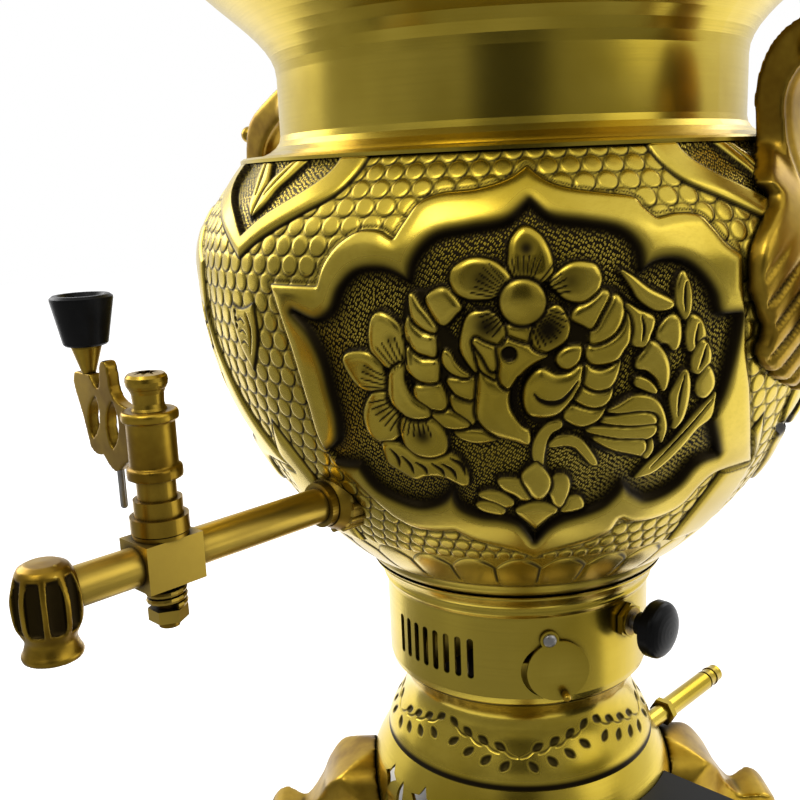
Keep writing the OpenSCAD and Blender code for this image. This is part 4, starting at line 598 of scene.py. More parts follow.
LEAVES = [
    (0.6, 2.2, 0, [18.5,141.3, 18.5,141.3, 22,139.3, 27,135.5, 34.5,131.5, 33.5,129.7, 29,129.7, 24,133,
     21.5,136.8]),
    (0.7, 2.4, 0.4, [20,131.5, 24,129.3, 28.3,127.3, 28.5,124.5, 27.4,121.5, 27.4,118.8, 25,118.7,
     22.5,119.8, 23,124, 22,128.3]),
    (0.6, 2.6, 0.3, [30.3,122.5, 32.5,125.8, 35,127.3, 37.2,125.5, 38,121, 37.5,117.7, 36,116.9, 34,119,
     31,120]),
    (0.5, 2.4, 0.2, [38,140, 36,136, 36.2,131, 38,127.7, 39.8,126, 41,130, 40.6,135]),
    (0.5, 2.4, 0, [41.5,126.5, 40.2,122.5, 40.8,118, 42.5,115.8, 46,117.5, 47,120.5, 45,125]),
    (0.5, 2.2, 0, [46,118.5, 43.5,114, 44,109.5, 47.5,108, 50,111, 49.5,115.5]),
    (0.4, 2, 0, [49.5,109.5, 46.5,105, 47.5,101, 51,99.5, 53.5,103, 52,107.5]),
    (0.7, 3, 0.3, [28.5,119.5, 32,117, 34.5,113, 35.5,108.5, 35,104.5, 33.5,104, 31.8,107.5, 28,111,
     24.5,112, 24.3,114, 26.5,117]),
    (0.3, 1.6, 0, [24.8,108.5, 28,107.6, 31,105.3, 31.5,103.2, 27,105, 24.5,106.5]),
    (0.5, 2.6, 0.2, [41.3,109.3, 39,106, 37.3,101.5, 38.5,97, 40.3,93, 41,89.5, 43.5,92, 44.3,97, 44,103,
     43,107])]
TOP_FLOWER = [
    (0.5, 2.4, 0, [-15.5,126.5, -10,126.3, -6.5,124.3, -8,122, -14,123.8]),
    (0.6, 3, 0, [-4,130, -0.5,132, 2.4,127, 1.8,122.5, -1.5,119.9, -5,119, -8,121.5, -7,126]),
    (0.6, 3, 0, [-18.5,129.5, -22,131.3, -26.5,130, -28.6,125, -29.3,120, -27.5,116, -25.3,113, -25.3,113,
     -26.2,117.5, -27,122.5, -24.8,124.6, -21.5,122.9, -18,122, -16.5,125]),
    (0.9, 3.2, 0, [-14,142, -14.3,147, -13.5,152, -10,155.7, -6,153.5, -3.5,149.5, -2.3,145, -3,140.5,
     -8,140]),
    (0.8, 3.2, 0, [-2.5,139, 0.5,142.5, 4,144.3, 8,144.2, 10.8,143, 12,139.5, 10.5,136, 6.5,133.5, 2,134.4,
     -0.5,136.7]),
    (0.8, 3.2, 0, [-14.5,140.5, -17,144, -21,146.2, -26,146.5, -30.5,144, -31.6,140.8, -30,137.2, -26,135.3,
     -20,135.5, -17,137.5])]

# Tool lines: width, points.
TOOL_LINES = [
    (4.6, [-12.3,111, -13.6,106, -13.4,100, -9.5,93.5]), (2.6, [-7.6,105.8, -6,103.8, -3,102.6, 0.5,103,
    3.2,105.5, 5.5,109]), (1.9, [26,109.6, 30,107.6, 33.3,103.6]), (1.9, [-57.6,84.4, -55.6,81, -55.8,77.6]),
    (1.9, [-53.8,82, -51.4,78.5, -50.8,75]), (1.9, [-49,79.6, -46.2,77.6, -45.6,75]), (1.9, [-43,79.4,
    -40,77.2, -39.2,74.6]), (1.9, [-39.5,79.8, -36,77.2, -34.8,73.8]), (1.9, [-36,82, -32.6,79.5,
    -31.4,75.4]), (1.3, [43.8,124, 43.5,120, 43.5,117.5]), (1.3, [47.5,117, 47,113, 46,110]), (1.3,
    [38.6,137, 38.6,132, 39,128]), (1.3, [41,108, 40.5,101, 41.3,94]), (1.5, [54,98, 45,86, 36,75]), (1.3,
    [24.5,128, 25.5,124, 25,120.5])]

EYE, EYE_R = (-15, 118.6), 2.1
BOSS, BOSS_R = (-10.8, 133.7), 7.3
LEFT_HEART = (-45, 106)

# Fans of fine lines that run out of a flower's heart: the heart, its radius, the fan's middle and half width
# in degrees, and the length of the lines.
VEINS = [
    (BOSS, 7.6, 90, 24, 5.5), (BOSS, 7.6, 32, 20, 6.5), (BOSS, 7.6, 150, 20, 7.5), (BOSS, 7.6, -48, 30, 7),
    (BOSS, 7.6, 212, 22, 6), (LEFT_HEART, 9.2, 112, 22, 9), (LEFT_HEART, 9.4, 168, 15, 9),
    (LEFT_HEART, 9.6, 215, 20, 8), (LEFT_HEART, 10, 268, 22, 6)]

# Painted shade in the hollows of the petals: middle, radius and darkness.
SHADE_SPOTS = [
    ((-9.5, 149), 2.8, 0.9), ((-22.5, 141), 4.2, 0.7), ((3, 139.5), 3.6, 0.6), ((-3.5, 125.5), 5.2, 0.95),
    ((-21.5, 127), 4.6, 0.85), ((-44.5, 90.5), 3.6, 0.8), ((-51, 123), 2.2, 0.5), ((-61, 112.5), 2.4, 0.5),
    ((-58, 99), 2.6, 0.4), ((-18.5, 112), 3.0, 0.35)]


def chase_panel(sheet):
    """One cartouche: its cushioned frame with a row of ticks round it, and the matted field in it."""
    frame_edge, field_edge = curve_through(FRAME_OUTLINE), curve_through(FIELD_OUTLINE)
    at, x, y = sheet.near(frame_edge, MARGIN)
    in_frame, in_field = sheet.inside(frame_edge, x, y), sheet.inside(field_edge, x, y)
    on_frame = ease(in_frame, -0.2, 0.4)
    roll = np.minimum(FRAME_ROLL, ROLL_SHARE * np.maximum(in_frame - in_field, 1))
    cushion = FRAME_RISE * quarter_round(in_frame / roll) * quarter_round(-in_field / roll)
    sink = ease(in_field, -0.8, 0.8)
    sheet.lay_over(at, on_frame, cushion * (1 - sink) + FIELD_LEVEL * sink)
    sheet.matting[at] += ease(in_field, 0.0, 1.2)
    ticks = 0.5 + 0.5 * np.cos(math.tau * (x + y) / TICK_PITCH)
    border, row = bell(in_frame, BORDER_IN, BORDER_WIDE), bell(in_frame, -TICKS_OUT, TICKS_WIDE)
    sheet.darken(at, np.maximum(0.85 * border, row * (0.35 + 0.6 * ticks)))
    sheet.height[at] -= BORDER_DEEP * border + TICKS_DEEP * row * ticks
    # painted shade under the frame, into the field and up the frame's side
    down, up = np.exp(-np.clip(in_field, 0, None) / SHADE_IN), bell(in_field, 0, SHADE_OUT)
    sheet.darken(at, 0.95 * np.where(in_field > 0, down, up) * on_frame)


def chase_bird(sheet):
    """The bird among flowers that fills a cartouche."""
    for outline in UNDERLAYS:
        sheet.lobe(outline, FIELD_LEVEL + 0.5, FIELD_LEVEL + 0.2, 2, dark=0.9)
    for group in (STEMS, LOTUS, TAIL, LEFT_WING, RIGHT_WING, BODY, LEFT_FLOWER, LEAVES, TOP_FLOWER):
        for top, roll, shade, outline in group:
            sheet.lobe(outline, top + 0.5, FIELD_LEVEL + 0.6, roll, shade=shade, grow=LOBE_GROWTH)
    sheet.dome(BOSS, BOSS_R, 2.0, FIELD_LEVEL + 1.2, line=1.0)
    for fan in VEINS:
        sheet.fan(*fan)
    # painted shade spots in the hollows of the petals
    for spot in SHADE_SPOTS:
        sheet.shade_spot(*spot)
    for width, line in TOOL_LINES:
        sheet.groove(line, width)
    sheet.lobe(ring_of(EYE, EYE_R, 12), 0.4, 0.2, EYE_R, dark=0.95)


BELLY_R = 125
ACROSS_PER_DEGREE = BELLY_R * math.pi / 180
PANEL_TURNS, BAND_TURNS = (-45, -142, 130.5, 42.5), (-98, -6, 80, 168)
PANEL_REACH = 112                       # a panel or a band stays within this, to both sides of its middle
URN_ARC = 183.5
TURN_STEPS, ARC_STEPS = 1440, 340
LOBE_GROWTH = 0.95
SCALE_PITCH, SCALE_ROW, SCALE_R, SCALE_RISE, SCALE_LINE = 7.6, 6.3, 3.5, 0.45, 0.44
PETALS, PETAL_TOP, PETAL_DROP, PETAL_ROUND = 32, 29, 7, 2.2
PETAL_ROLL, PETAL_RISE = 5, 0.45
CRESCENT_IN, CRESCENT_WIDE = 1.1, 1.0
FOOT_LIP = 4


def lay_scales(sheet):
    """Rows of round domed scales all over, each outlined dark, with painted shade added on its lower right
    edge.
    """
    pitch = math.tau * BELLY_R / round(math.tau * BELLY_R / SCALE_PITCH)
    x, y = np.meshgrid(sheet.across, sheet.up)
    best = np.full(x.shape, 1e9)
    dx_best, dy_best = np.zeros(x.shape), np.zeros(x.shape)
    low_row = np.floor(y / SCALE_ROW)
    for row in (low_row, low_row + 1):
        start = 0.5 * pitch * (row % 2)
        dx = x - (np.round((x - start) / pitch) * pitch + start)
        dy = y - row * SCALE_ROW
        far = np.hypot(dx, dy)
        nearer = far < best
        for kept, new in ((best, far), (dx_best, dx), (dy_best, dy)):
            kept[nearer] = new[nearer]
    sheet.height += SCALE_RISE * np.sqrt(1 - np.clip(best / SCALE_R, 0, 1) ** 4) - 0.2
    # the outline is darker on the lower right of each scale: painted shade
    lean = (dx_best - dy_best) / np.maximum(best, 0.1) / math.sqrt(2)
    sheet.patina += bell(best, SCALE_R, SCALE_LINE) * (0.6 + 0.4 * np.clip(lean, 0, 1))


def chase_petals(sheet):
    """The ring of smooth petals round the urn's foot, each with a crescent of painted shade at its right
    edge.
    """
    pitch = math.tau * BELLY_R / PETALS
    x, y = np.meshgrid(sheet.across, sheet.up)
    share = (x / pitch) % 1
    off = np.abs(share - 0.5) * pitch
    tip = PETAL_TOP - PETAL_DROP * (off / (0.5 * pitch)) ** PETAL_ROUND
    inside = np.minimum(0.5 * pitch - off, tip - y)
    below = ease(PETAL_TOP + 1 - y, 0, 0.8)
    everywhere = slice(None)
    sheet.lay_over(everywhere, below, PETAL_RISE * quarter_round(inside / PETAL_ROLL) - 0.1)
    # painted shade along the inside of each petal's right edge
    shade_crescent = bell(inside, CRESCENT_IN, CRESCENT_WIDE) * ease(share, 0.5, 0.8) * ease(y, 6, 11)
    outline, lip = 0.6 * bell(tip, y, 0.5), 0.8 * bell(y, FOOT_LIP, 0.5)
    sheet.darken(everywhere, below * np.maximum(np.maximum(outline, 0.9 * shade_crescent), lip))


# The three-cornered panel under the neck, its matted ground, and the right-hand leaf on it.
CORNER_EDGE = [
    0,146, 0,146, 10,152, 20,157, 30,162, 41,168, 47,176, 50,186, 50,186, -50,186, -50,186, -47,176, -41,168,
    -30,162, -20,157, -10,152]
CORNER_GROUND = [
    0,154, 0,154, 10,161, 20,166.5, 29,172, 35,178, 37,186, 37,186, -37,186, -37,186, -35,178, -29,172,
    -20,166.5, -10,161]
CORNER_LEAF = [0,160, 0,160, 6,165, 9,171, 14,177, 19,185, 11,186, 5,181, 0,174]
CORNER_VEIN = [3,169, 7,176, 12,183]
ARCH = [-15,28, -15,28, -16,45, -13,62, -7,77, 0,88, 0,88, 7,77, 13,62, 16,45, 15,28, 15,28]
FISH = [-7,131, -7,131, -2,129.5, 3,130, 8,132, 8,132, 8.5,124, 6,116, 0,107, 0,107, -5,115, -7.5,123]
FISH_BACK = [3,128, 4.2,122, 1.5,114]
FIN_LEVELS, PEARL_LEVELS = (125, 121, 117), (128, 125.6, 123.2)


def chase_corner(sheet):
    """The three-cornered panel under the neck, centred on a band."""
    sheet.lobe(curve_through(CORNER_EDGE), 1.4, -0.2, 3.5, line=0.8)
    sheet.lobe(curve_through(CORNER_GROUND), FIELD_LEVEL + 0.4, FIELD_LEVEL + 0.9, 2.5, line=1.0, matted=1.0)
    for side in ((-1, 1), (1, 1)):
        sheet.lobe(np.reshape(CORNER_LEAF, (-1, 2)) * side, 0.8, FIELD_LEVEL + 0.9, 4.0)
        sheet.groove(np.reshape(CORNER_VEIN, (-1, 2)) * side, 1.4)


def chase_arch(sheet):
    """The plain arch that a band ends in, and the small fish on the band above it."""
    sheet.lobe(ARCH, 1.6, -0.4, 6.0, line=0.8)
    sheet.lobe(FISH, 1.0, 0.2, 2.0)
    sheet.groove(FISH_BACK, 1.2)
    for up in FIN_LEVELS:
        sheet.groove([(-3.5, up), (-1, up + 0.8), (1, up - 0.6)], 0.7, 0.3)
    for up in PEARL_LEVELS:
        sheet.dome((-4.6, up), 0.7, 0.2, 0.5)


def chase_window(sheet, turn, *chasers):
    """Chases a window of the sheet whose own zero is at the turn."""
    columns = len(sheet.across)
    step = 360 / columns
    reach = int(PANEL_REACH / ACROSS_PER_DEGREE / step)
    index = (np.arange(-reach, reach + 1) + round((turn + 180) / step)) % columns
    window = ChasedSheet(np.arange(-reach, reach + 1) * step * ACROSS_PER_DEGREE, sheet.up)
    fields = ((sheet.height, window.height), (sheet.patina, window.patina), (sheet.matting, window.matting))
    for whole, part in fields:
        part[:] = whole[:, index]
    for chase in chasers:
        chase(window)
    for whole, part in fields:
        whole[:, index] = part


def chase_urn():
    turns = np.arange(TURN_STEPS) * 360 / TURN_STEPS - 180
    sheet = ChasedSheet(turns * ACROSS_PER_DEGREE, np.linspace(0, URN_ARC, ARC_STEPS))
    lay_scales(sheet)
    for turn in BAND_TURNS:
        chase_window(sheet, turn, chase_arch, chase_corner)
    for turn in PANEL_TURNS:
        chase_window(sheet, turn, chase_panel, chase_bird)
    chase_petals(sheet)
    return sheet


# ---------------------------------------------------------------- the chased urn
FOOT_H, LIP_OUT = 6, 0.7
BELLY_H, BELLY_ROUND, SHOULDER_ROUND = 118, 0.8, 1.15
SEAM_R, URN_FOOT_R = 105.3, 64.5
WALL, FOOT_WALL, NECK_LEDGE, FOOT_LEDGE = 1.84, 1.6, 6, 4
DEEPEST = 1.6                           # no tool mark goes deeper, so that the wall stays whole
FADE = 1.5                              # the relief fades out over this at the sheet's two edges
FINE_STEPS, INNER_ROWS = 4000, 30


def urn_side(levels):
    """Radius of the urn's side at each height, in millimetres."""
    up = np.clip((levels - URN_FOOT_Z) / (BELLY_Z - URN_FOOT_Z), 0, 1)
    over = np.clip((levels - BELLY_Z) / (SEAM_Z - BELLY_Z), 0, 1)
    return np.where(
        levels < BELLY_Z,
        URN_FOOT_R + (BELLY_R - URN_FOOT_R) * np.sin(0.5 * math.pi * up ** BELLY_ROUND),
        SEAM_R + (BELLY_R - SEAM_R) * np.cos(0.5 * math.pi * over ** SHOULDER_ROUND))


def way_up(radius, level):
    """How far up its side each point of a side is, along the metal."""
    return np.concatenate([[0], np.cumsum(np.hypot(np.diff(level), np.diff(radius)))])


def edge_fade(up, top):
    return (ease(up, 0, FADE) * (1 - ease(up, top - FADE, top)))[:, None]


def ring_mesh(name, rings):
    """A closed mesh from rings of points, joined one to the next and the last to the first."""
    rows, columns = rings.shape[:2]
    below = np.arange(rows * columns).reshape(rows, columns)
    above = np.roll(below, -1, 0)
    quads = np.stack([below, np.roll(below, -1, 1), np.roll(above, -1, 1), above], -1).reshape(-1, 4)
    mesh = bpy.data.meshes.new(name)
    mesh.vertices.add(rows * columns)
    mesh.vertices.foreach_set("co", (rings * MM).astype(np.float32).ravel())
    mesh.loops.add(quads.size)
    mesh.loops.foreach_set("vertex_index", quads.astype(np.int32).ravel())
    mesh.polygons.add(len(quads))
    mesh.polygons.foreach_set("loop_start", np.arange(0, quads.size, 4, dtype=np.int32))
    mesh.polygons.foreach_set("use_smooth", np.ones(len(quads), bool))
    u = (np.arange(columns)[:, None] + (0, 1, 1, 0)) / columns
    v = (np.arange(rows)[:, None] + (0, 0, 1, 1)) / rows
    uv = np.stack(np.broadcast_arrays(u[None], v[:, None]), -1)
    mesh.uv_layers.new(name="OFBake").data.foreach_set("uv", uv.astype(np.float32).ravel())
    mesh.update(calc_edges=True)
    mesh.validate()
    return into_scene(name, mesh)


def keep_on_points(piece, name, values):
    kept = piece.data.attributes.new(name, "FLOAT", "POINT")
    kept.data.foreach_set("value", values.astype(np.float32).ravel())


def revolve_chased(name, radius, level, turns, inside, sheet):
    """Turns a side (radius and level of each row) into a chased wall with its inner rows."""
    slope = np.stack([np.gradient(radius), np.gradient(level)], 1)
    slope /= np.linalg.norm(slope, axis=1, keepdims=True)
    out = radius[:, None] + slope[:, 1:] * sheet.height
    high = level[:, None] - slope[:, :1] * sheet.height
    c, s = np.cos(turns), np.sin(turns)
    outer = np.stack([out * c, out * s, np.broadcast_to(high, out.shape)], -1)
    r, z = np.array(inside, float).T[:, :, None]
    inner = np.stack([r * c, r * s, np.broadcast_to(z, (len(inside), len(turns)))], -1)
    piece = ring_mesh(name, np.concatenate([outer, inner]))
    plain = np.zeros(inner.shape[:2])
    # the patina map also holds painted shade: round lobes, under overlaps and the frame, on scales and petals
    keep_on_points(piece, "patina", np.concatenate([np.clip(sheet.patina, 0, 1), plain + 0.3]))
    keep_on_points(piece, "matting", np.concatenate([np.clip(sheet.matting, 0, 1), plain]))
    return piece


def build_urn():
    sheet = chase_urn()
    fine = np.linspace(URN_FOOT_Z, SEAM_Z, FINE_STEPS)
    arc = way_up(urn_side(fine), fine)
    sheet.height = np.maximum(sheet.height, -DEEPEST) * edge_fade(sheet.up, arc[-1])
    level = np.interp(sheet.up * arc[-1] / URN_ARC, arc, fine)
    radius = urn_side(level)
    low = urn_low.z
    foot = [(URN_FOOT_R - FOOT_LEDGE, low), (URN_FOOT_R - 2, low + 1.5), (URN_FOOT_R, low + 4),
            (URN_FOOT_R, URN_FOOT_Z - 0.4), (URN_FOOT_R + LIP_OUT, URN_FOOT_Z)]
    foot_in = URN_FOOT_R - FOOT_LEDGE - FOOT_WALL
    inside = [(SEAM_R - NECK_LEDGE, SEAM_Z), (SEAM_R - NECK_LEDGE, SEAM_Z - 1.2),
              *((urn_side(z) - WALL, z) for z in np.linspace(SEAM_Z - 1.2, URN_FOOT_Z + 2, INNER_ROWS)),
              (foot_in, URN_FOOT_Z + 1), (foot_in, low)]
    blank = np.zeros((len(foot), len(sheet.across)))
    sheet.height, sheet.matting = np.vstack([blank, sheet.height]), np.vstack([blank, sheet.matting])
    sheet.patina = np.vstack([blank + 0.25, sheet.patina])
    foot_r, foot_z = zip(*foot)
    radius, level = np.concatenate([foot_r, radius]), np.concatenate([foot_z, level])
    return revolve_chased("chased_urn", radius, level, sheet.across / BELLY_R, inside, sheet)


urn_low, urn_high = (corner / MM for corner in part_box("urn"))
URN_FOOT_Z, SEAM_Z = urn_low.z + FOOT_H, urn_high.z
BELLY_Z = URN_FOOT_Z + BELLY_H
stand_in(build_urn(), "urn", CHASED)


# ---------------------------------------------------------------- the vine round the pedestal
PEDESTAL_LOW, PEDESTAL_HIGH = (corner.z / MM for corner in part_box("pedestal"))
PEDESTAL_WAIST_H = 25
PEDESTAL_FOOT_R, PEDESTAL_WAIST_R, PEDESTAL_TOP_R = 58.6, 49, 54
PEDESTAL_WALL, PEDESTAL_INNER_ROWS = 1.5, 12
VINE_COUNT, VINE_STEPS = 5, 4
VINE_LOW, VINE_RISE = 13, 8
VINE_TURNS, VINE_ROWS = 1000, 130
LEAF_SIDES = [(0, 0), (0.3, 0.42), (0.65, 0.5), (1, 0), (0.65, -0.5), (0.3, -0.42)]


def pedestal_side(level):
    """Radius of the pedestal at each height, in millimetres."""
    up = level - PEDESTAL_LOW
    over = np.clip((up - PEDESTAL_WAIST_H) / (PEDESTAL_HIGH - PEDESTAL_LOW - PEDESTAL_WAIST_H), 0, 1)
    flare, spread = PEDESTAL_FOOT_R - PEDESTAL_WAIST_R, PEDESTAL_TOP_R - PEDESTAL_WAIST_R
    low = PEDESTAL_WAIST_R + flare * (1 + np.cos(math.pi * up / PEDESTAL_WAIST_H)) / 2
    high = PEDESTAL_WAIST_R + spread * (1 - np.cos(0.5 * math.pi * over))
    return np.where(up < PEDESTAL_WAIST_H, low, high)


def vine_leaf(sheet, foot, lean, length=4.6, width=2.6):
    """One sunk leaf of the vine, brown in its hollow."""
    along = np.array([math.cos(lean), math.sin(lean)])
    side = np.array([-along[1], along[0]])
    outline = [np.array(foot) + a * length * along + s * width * side for a, s in LEAF_SIDES]
    sheet.lobe(outline, -0.75, -0.2, 1.0, line=0.55, dark=0.85)


def chase_vine(sheet):
    """Hanging branches with leaves above and below them, dark in their grooves."""
    reach = math.tau * PEDESTAL_WAIST_R / VINE_COUNT
    for k in range(VINE_COUNT):
        middle = (k + 0.5) * reach + sheet.across[0]
        for side in (-1, 1):
            for i in range(VINE_STEPS):
                share = (i + 0.75) / (VINE_STEPS + 0.5)
                x, y = middle + side * share * 0.5 * reach, VINE_LOW + VINE_RISE * share ** 1.4
                slope = math.atan2(VINE_RISE * share, 0.5 * reach)
                lean = slope if side > 0 else math.pi - slope
                vine_leaf(sheet, (x, y + 2.2), lean + side * 0.5)
                vine_leaf(sheet, (x - side * 1.5, y - 2), lean - side * 1.0, 4.8, 2.5)
                branch = [(x - side * 4.5, y - 0.6), (x - side * 2, y + 0.3), (x + side * 0.3, y + 2)]
                sheet.groove(branch, 0.7, 0.3)
    sheet.patina = 0.95 * blurred(sheet.patina, 2)
    low_ring, high_ring = bell(sheet.up, 1.2, 1.9), 0.8 * bell(sheet.up, sheet.up[-1], 0.8)
    sheet.darken(slice(None), np.maximum(low_ring, high_ring)[:, None])


def build_pedestal():
    level = np.linspace(PEDESTAL_LOW, PEDESTAL_HIGH, VINE_ROWS)
    radius = pedestal_side(level)
    steps = np.arange(VINE_TURNS) * math.tau
    sheet = ChasedSheet(steps * PEDESTAL_WAIST_R / VINE_TURNS, way_up(radius, level))
    chase_vine(sheet)
    sheet.height *= edge_fade(sheet.up, sheet.up[-1])
    inside = [(pedestal_side(z) - PEDESTAL_WALL, z)
              for z in np.linspace(PEDESTAL_HIGH, PEDESTAL_LOW, PEDESTAL_INNER_ROWS)]
    turns = np.radians(CAMERA_SIDE + 180 / VINE_COUNT) + steps / VINE_TURNS
    return revolve_chased("vined_pedestal", radius, level, turns, inside, sheet)


stand_in(build_pedestal(), "pedestal", CHASED)


# ---------------------------------------------------------------- the cast pieces
def hollows(mesh, spots, ways, rounds, deep):
    """How dark the patina is: 1 where the form lies deep below its own smoothed self, 0 on its heights."""
    ends = np.empty(len(mesh.edges) * 2, np.int32)
    mesh.edges.foreach_get("vertices", ends)
    near, far = ends[0::2], ends[1::2]
    count = len(spots)
    share = np.bincount(ends, minlength=count)[:, None]
    even = spots.astype(float)
    for _ in range(rounds):
        even = np.stack([np.bincount(near, even[far, k], count) + np.bincount(far, even[near, k], count)
                         for k in range(3)], 1) / share
    return ease(((even - spots) * ways).sum(1) / MM, 0.2 * deep, deep)


def recast(node, voxel, rounds, carve=None, body="root", spread=20, deep=0.8, carved_dark=0):
    """A casting's own form with its edges run over, as it comes from the sand: remeshed finely and smoothed.

    Carve gives the depth that is taken off each point, and the last argument says how dark the carved places
    are. Spread and deep say how wide and how deep a hollow is that the patina stays in."""
    raw = frame["nodes"][node]
    piece = raw.copy()
    piece.data = raw.data.copy()
    piece.name = "cast_" + node
    piece.parent = None
    piece.matrix_world = raw.matrix_world
    bpy.context.scene.collection.objects.link(piece)
    grid = piece.modifiers.new("grid", "REMESH")
    grid.mode, grid.voxel_size = "VOXEL", voxel * MM
    rub = piece.modifiers.new("rub", "SMOOTH")
    rub.factor, rub.iterations = 0.5, rounds
    smooth = bpy.data.meshes.new_from_object(piece.evaluated_get(bpy.context.evaluated_depsgraph_get()))
    piece.modifiers.clear()
    piece.data = smooth
    count = len(smooth.vertices)
    spots, ways = np.empty(count * 3, np.float32), np.empty(count * 3, np.float32)
    smooth.vertices.foreach_get("co", spots)
    smooth.vertex_normals.foreach_get("vector", ways)
    spots, ways = spots.reshape(-1, 3), ways.reshape(-1, 3)
    cut = carve(spots / MM, ways) if carve else np.zeros(count)
    spots -= (cut * MM)[:, None] * ways
    smooth.vertices.foreach_set("co", spots.ravel())
    smooth.polygons.foreach_set("use_smooth", np.ones(len(smooth.polygons), bool))
    smooth.update()
    # the carved places darkened as far as the last argument says
    carved_darkening = carved_dark * ease(cut, 0.1, 0.5)
    keep_on_points(piece, "patina", np.maximum(hollows(smooth, spots, ways, spread, deep), carved_darkening))
    stand_in(piece, node, FINISHES["bronzed_brass"], body)


HANDLE_HALF, VALLEY_WIDE, VALLEY_DEEP = 11, 1.5, 1.6
LEAF_LOW, LEAF_HIGH = -10, 15           # the leaf's slanted veins end between these levels, from the belly
VEIN_PITCH, VEIN_SLANT = 11, 0.9


def handle_valleys(spots, ways):
    """Depth of the valley lines of a handle's acanthus leaf, deeper and slanted in its lower part."""
    across, level = np.abs(spots[:, 1]), spots[:, 2]
    low = 1 - ease(level, BELLY_Z + LEAF_LOW, BELLY_Z + LEAF_HIGH)
    facing = ease(1 - np.abs(ways[:, 1]), 0.25, 0.6)
    middle, side = bell(across, 0, VALLEY_WIDE), bell(across, 0.55 * HANDLE_HALF, VALLEY_WIDE)
    slanted = 0.5 + 0.5 * np.cos(math.tau * (level + VEIN_SLANT * across) / VEIN_PITCH)
    return VALLEY_DEEP * facing * (0.6 * side + 0.8 * middle * low + low * slanted ** 4)


SPOUT_TOP, SPOUT_BORE_R = 10.6, 6       # the spout's top lies this high over the middle of its pipe
FLUTE_TURN, FLUTE_HALF, FLUTE_EDGE, LAST_FLUTE = 40, 15.5, 5, 136     # degrees
FLUTE_DEEP = 1.0
FLUTE_FOOT, FLUTE_HEAD = (-10.0, -8.0), (6.0, 8.0)


def spout_flutes(spots, ways):
    """Depth of the long dark flutes round the front and the sides of the spout."""
    low, high = spots.min(0), spots.max(0)
    x, y = spots[:, 0], spots[:, 1] - 0.5 * (low[1] + high[1])
    turn = (np.degrees(np.arctan2(y, x)) + 90 + 180) % 360 - 180
    off = np.abs((turn + FLUTE_TURN / 2) % FLUTE_TURN - FLUTE_TURN / 2)
    level = spots[:, 2] - high[2] + SPOUT_TOP
    length = ease(level, *FLUTE_FOOT) * (1 - ease(level, *FLUTE_HEAD))
    fluted = (np.hypot(x, y) > SPOUT_BORE_R) & (np.abs(turn) < LAST_FLUTE)
    return FLUTE_DEEP * ease(FLUTE_HALF - off, 0, FLUTE_EDGE) * length * fluted


for node in ("right_handle", "left_handle"):
    recast(node, 1.2, rounds=10, carve=handle_valleys)
for side in ("front_right", "front_left", "rear_left", "rear_right"):
    recast("leg_" + side, 1.0, rounds=8)
recast("tap_lever", 0.5, rounds=5, body="tap_key")
recast("tap_spout", 0.4, rounds=1, carve=spout_flutes, spread=160, deep=0.2, carved_dark=1)


# ---------------------------------------------------------------- the studio
UNDER_BASE = (0.086, 0.11)              # the floor doesn't glow under the base, metres from the axis
FLOOR_HALF, FLOOR_GLOW = 3.0, 0.8
WORLD_LEVEL = 0.4
LAMP_AIM = (0, 0, 0.25)
TABLE_Z = 0.002


def studio_world():
    """White where it is seen or mirrored, and dimmer as a light."""
    world = bpy.data.worlds.new("white tent")
    bpy.context.scene.world = world
    tent = Tree(world)
    glow = tent.nodes["Background"]
    glow.inputs["Color"].default_value = (1, 1, 1, 1)
    level = tent.add("ShaderNodeMapRange", None, tent.seen_directly(), 0.0, 1.0, WORLD_LEVEL, 1.0)
    tent.feed(glow.inputs["Strength"], level)


def soft_lamp(name, turn, away, high, size, power):
    """A square soft box at a turn round the samovar."""
    lamp = bpy.data.lights.new(name, "AREA")
    lamp.shape, lamp.size, lamp.energy = "SQUARE", size, power
    piece = into_scene(name, lamp)
    piece.location = (away * math.cos(math.radians(turn)), away * math.sin(math.radians(turn)), high)
    piece.rotation_euler = (Vector(LAMP_AIM) - piece.location).to_track_quat("-Z", "Y").to_euler()


def plain_mesh(name, corners, faces):
    mesh = bpy.data.meshes.new(name)
    mesh.from_pydata(corners, [], faces)
    return into_scene(name, mesh)


def studio_floor():
    """Pale paper that glows only where it is seen or mirrored, and keeps the samovar's shadow."""
    corners = [(x * FLOOR_HALF, y * FLOOR_HALF, 0) for x, y in ((-1, -1), (1, -1), (1, 1), (-1, 1))]
    floor = plain_mesh("floor", corners, [(0, 1, 2, 3)])
    f = Finish("pale paper")
    weave = f.noise(140, 3)
    paper = f.blend(weave.between(0.3, 0.7), (0.86, 0.86, 0.86), (0.9, 0.9, 0.9))
    seen = f.seen_directly() * f.from_axis().between(*UNDER_BASE)
    f.feed(f.skin.inputs["Emission Color"], f.blend(seen, (0, 0, 0), (1, 1, 1)))
    put_on(floor, f.dress(paper, 0.7, 0.0, Emission_Strength=FLOOR_GLOW, Specular_IOR_Level=0.0))


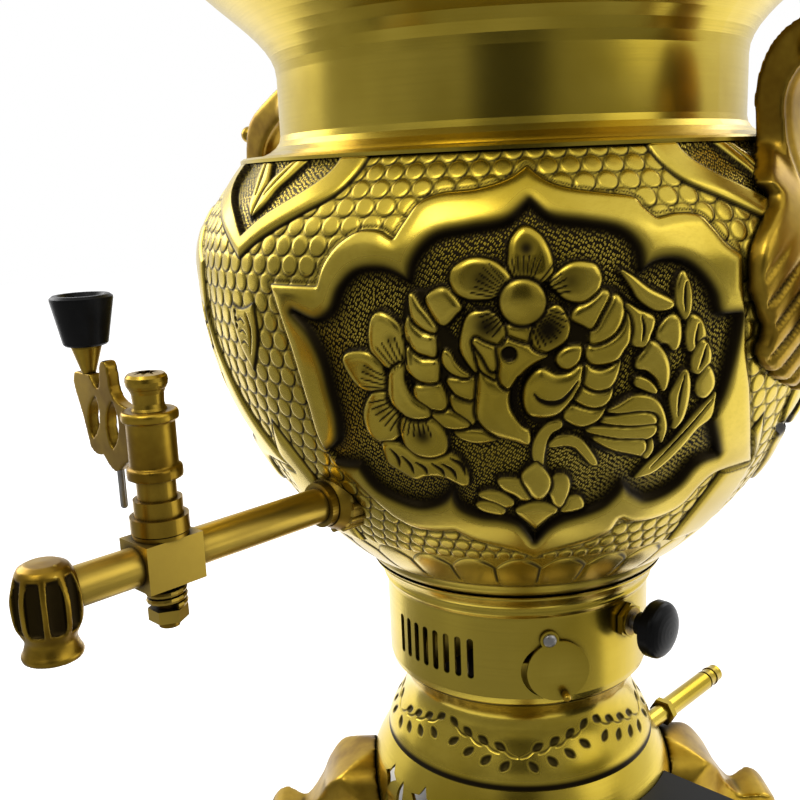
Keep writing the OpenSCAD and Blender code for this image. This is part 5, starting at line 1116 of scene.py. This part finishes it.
def paper_sheet(name, turns, side, shade):
    """A curved sheet of paper that the metal mirrors: its turns from the camera's side, and its two edges."""
    low_turn, high_turn = turns
    steps = np.radians(np.linspace(CAMERA_SIDE + low_turn, CAMERA_SIDE + high_turn, 25))
    corners = [(away * math.cos(t), away * math.sin(t), z) for t in steps for away, z in side]
    faces = [(i, i + 1, i + 3, i + 2) for i in range(0, len(corners) - 2, 2)]
    paper = plain_mesh(name, corners, faces)
    f = Finish(name + " paper")
    clouds = f.noise(2.2, 2, 0.5)
    glow = f.blend(clouds.between(0.35, 0.65), (shade,) * 3, (0.6 * shade,) * 3)
    f.feed(f.skin.inputs["Emission Color"], glow)
    put_on(paper, f.dress((0.02, 0.02, 0.02), 0.9, 0.0, Emission_Strength=1.0, Specular_IOR_Level=0.0))
    paper.visible_camera = paper.visible_shadow = paper.visible_diffuse = False


studio_world()
studio_floor()
bpy.context.scene.view_settings.view_transform = "Standard"
paper_sheet("grey wall", turns=(-95, 78), side=[(1.5, 0), (1.5, 1.1)], shade=0.36)
paper_sheet("grey table", turns=(-110, 70), side=[(0.12, TABLE_Z), (1.5, TABLE_Z)], shade=0.42)
paper_sheet("dark card", turns=(-15, 17), side=[(0.6, 0.24), (0.6, 0.66)], shade=0.02)
soft_lamp("key", turn=-165, away=1.35, high=0.95, size=0.9, power=10)
soft_lamp("fill", turn=12, away=1.35, high=0.8, size=0.8, power=2.5)
soft_lamp("front", turn=CAMERA_SIDE - 25, away=1.1, high=1.5, size=0.6, power=6)
soft_lamp("back", turn=80, away=1.5, high=1.2, size=1.0, power=8)


# ---------------------------------------------------------------- the camera
CAMERA_TURN, CAMERA_DIP, CAMERA_ROLL = 44.98, 12.46, 2.42
LENS, SENSOR, CLIP_START = 45.73, 36.0, 0.01


def place_camera():
    data = bpy.data.cameras.new("camera")
    data.lens, data.sensor_width, data.sensor_fit = LENS, SENSOR, "AUTO"
    data.clip_start = CLIP_START
    piece = into_scene("camera", data)
    turn, dip, roll = (math.radians(v) for v in (CAMERA_TURN, CAMERA_DIP, CAMERA_ROLL))
    ahead = Vector((-math.sin(turn) * math.cos(dip), math.cos(turn) * math.cos(dip), -math.sin(dip)))
    right = ahead.cross(Vector((0, 0, 1))).normalized()
    up = right.cross(ahead)
    right, up = (math.cos(roll) * right - math.sin(roll) * up, math.sin(roll) * right + math.cos(roll) * up)
    piece.matrix_world = Matrix.Translation(CAMERA_AT) @ Matrix((right, up, -ahead)).transposed().to_4x4()
    bpy.context.scene.camera = piece


place_camera()
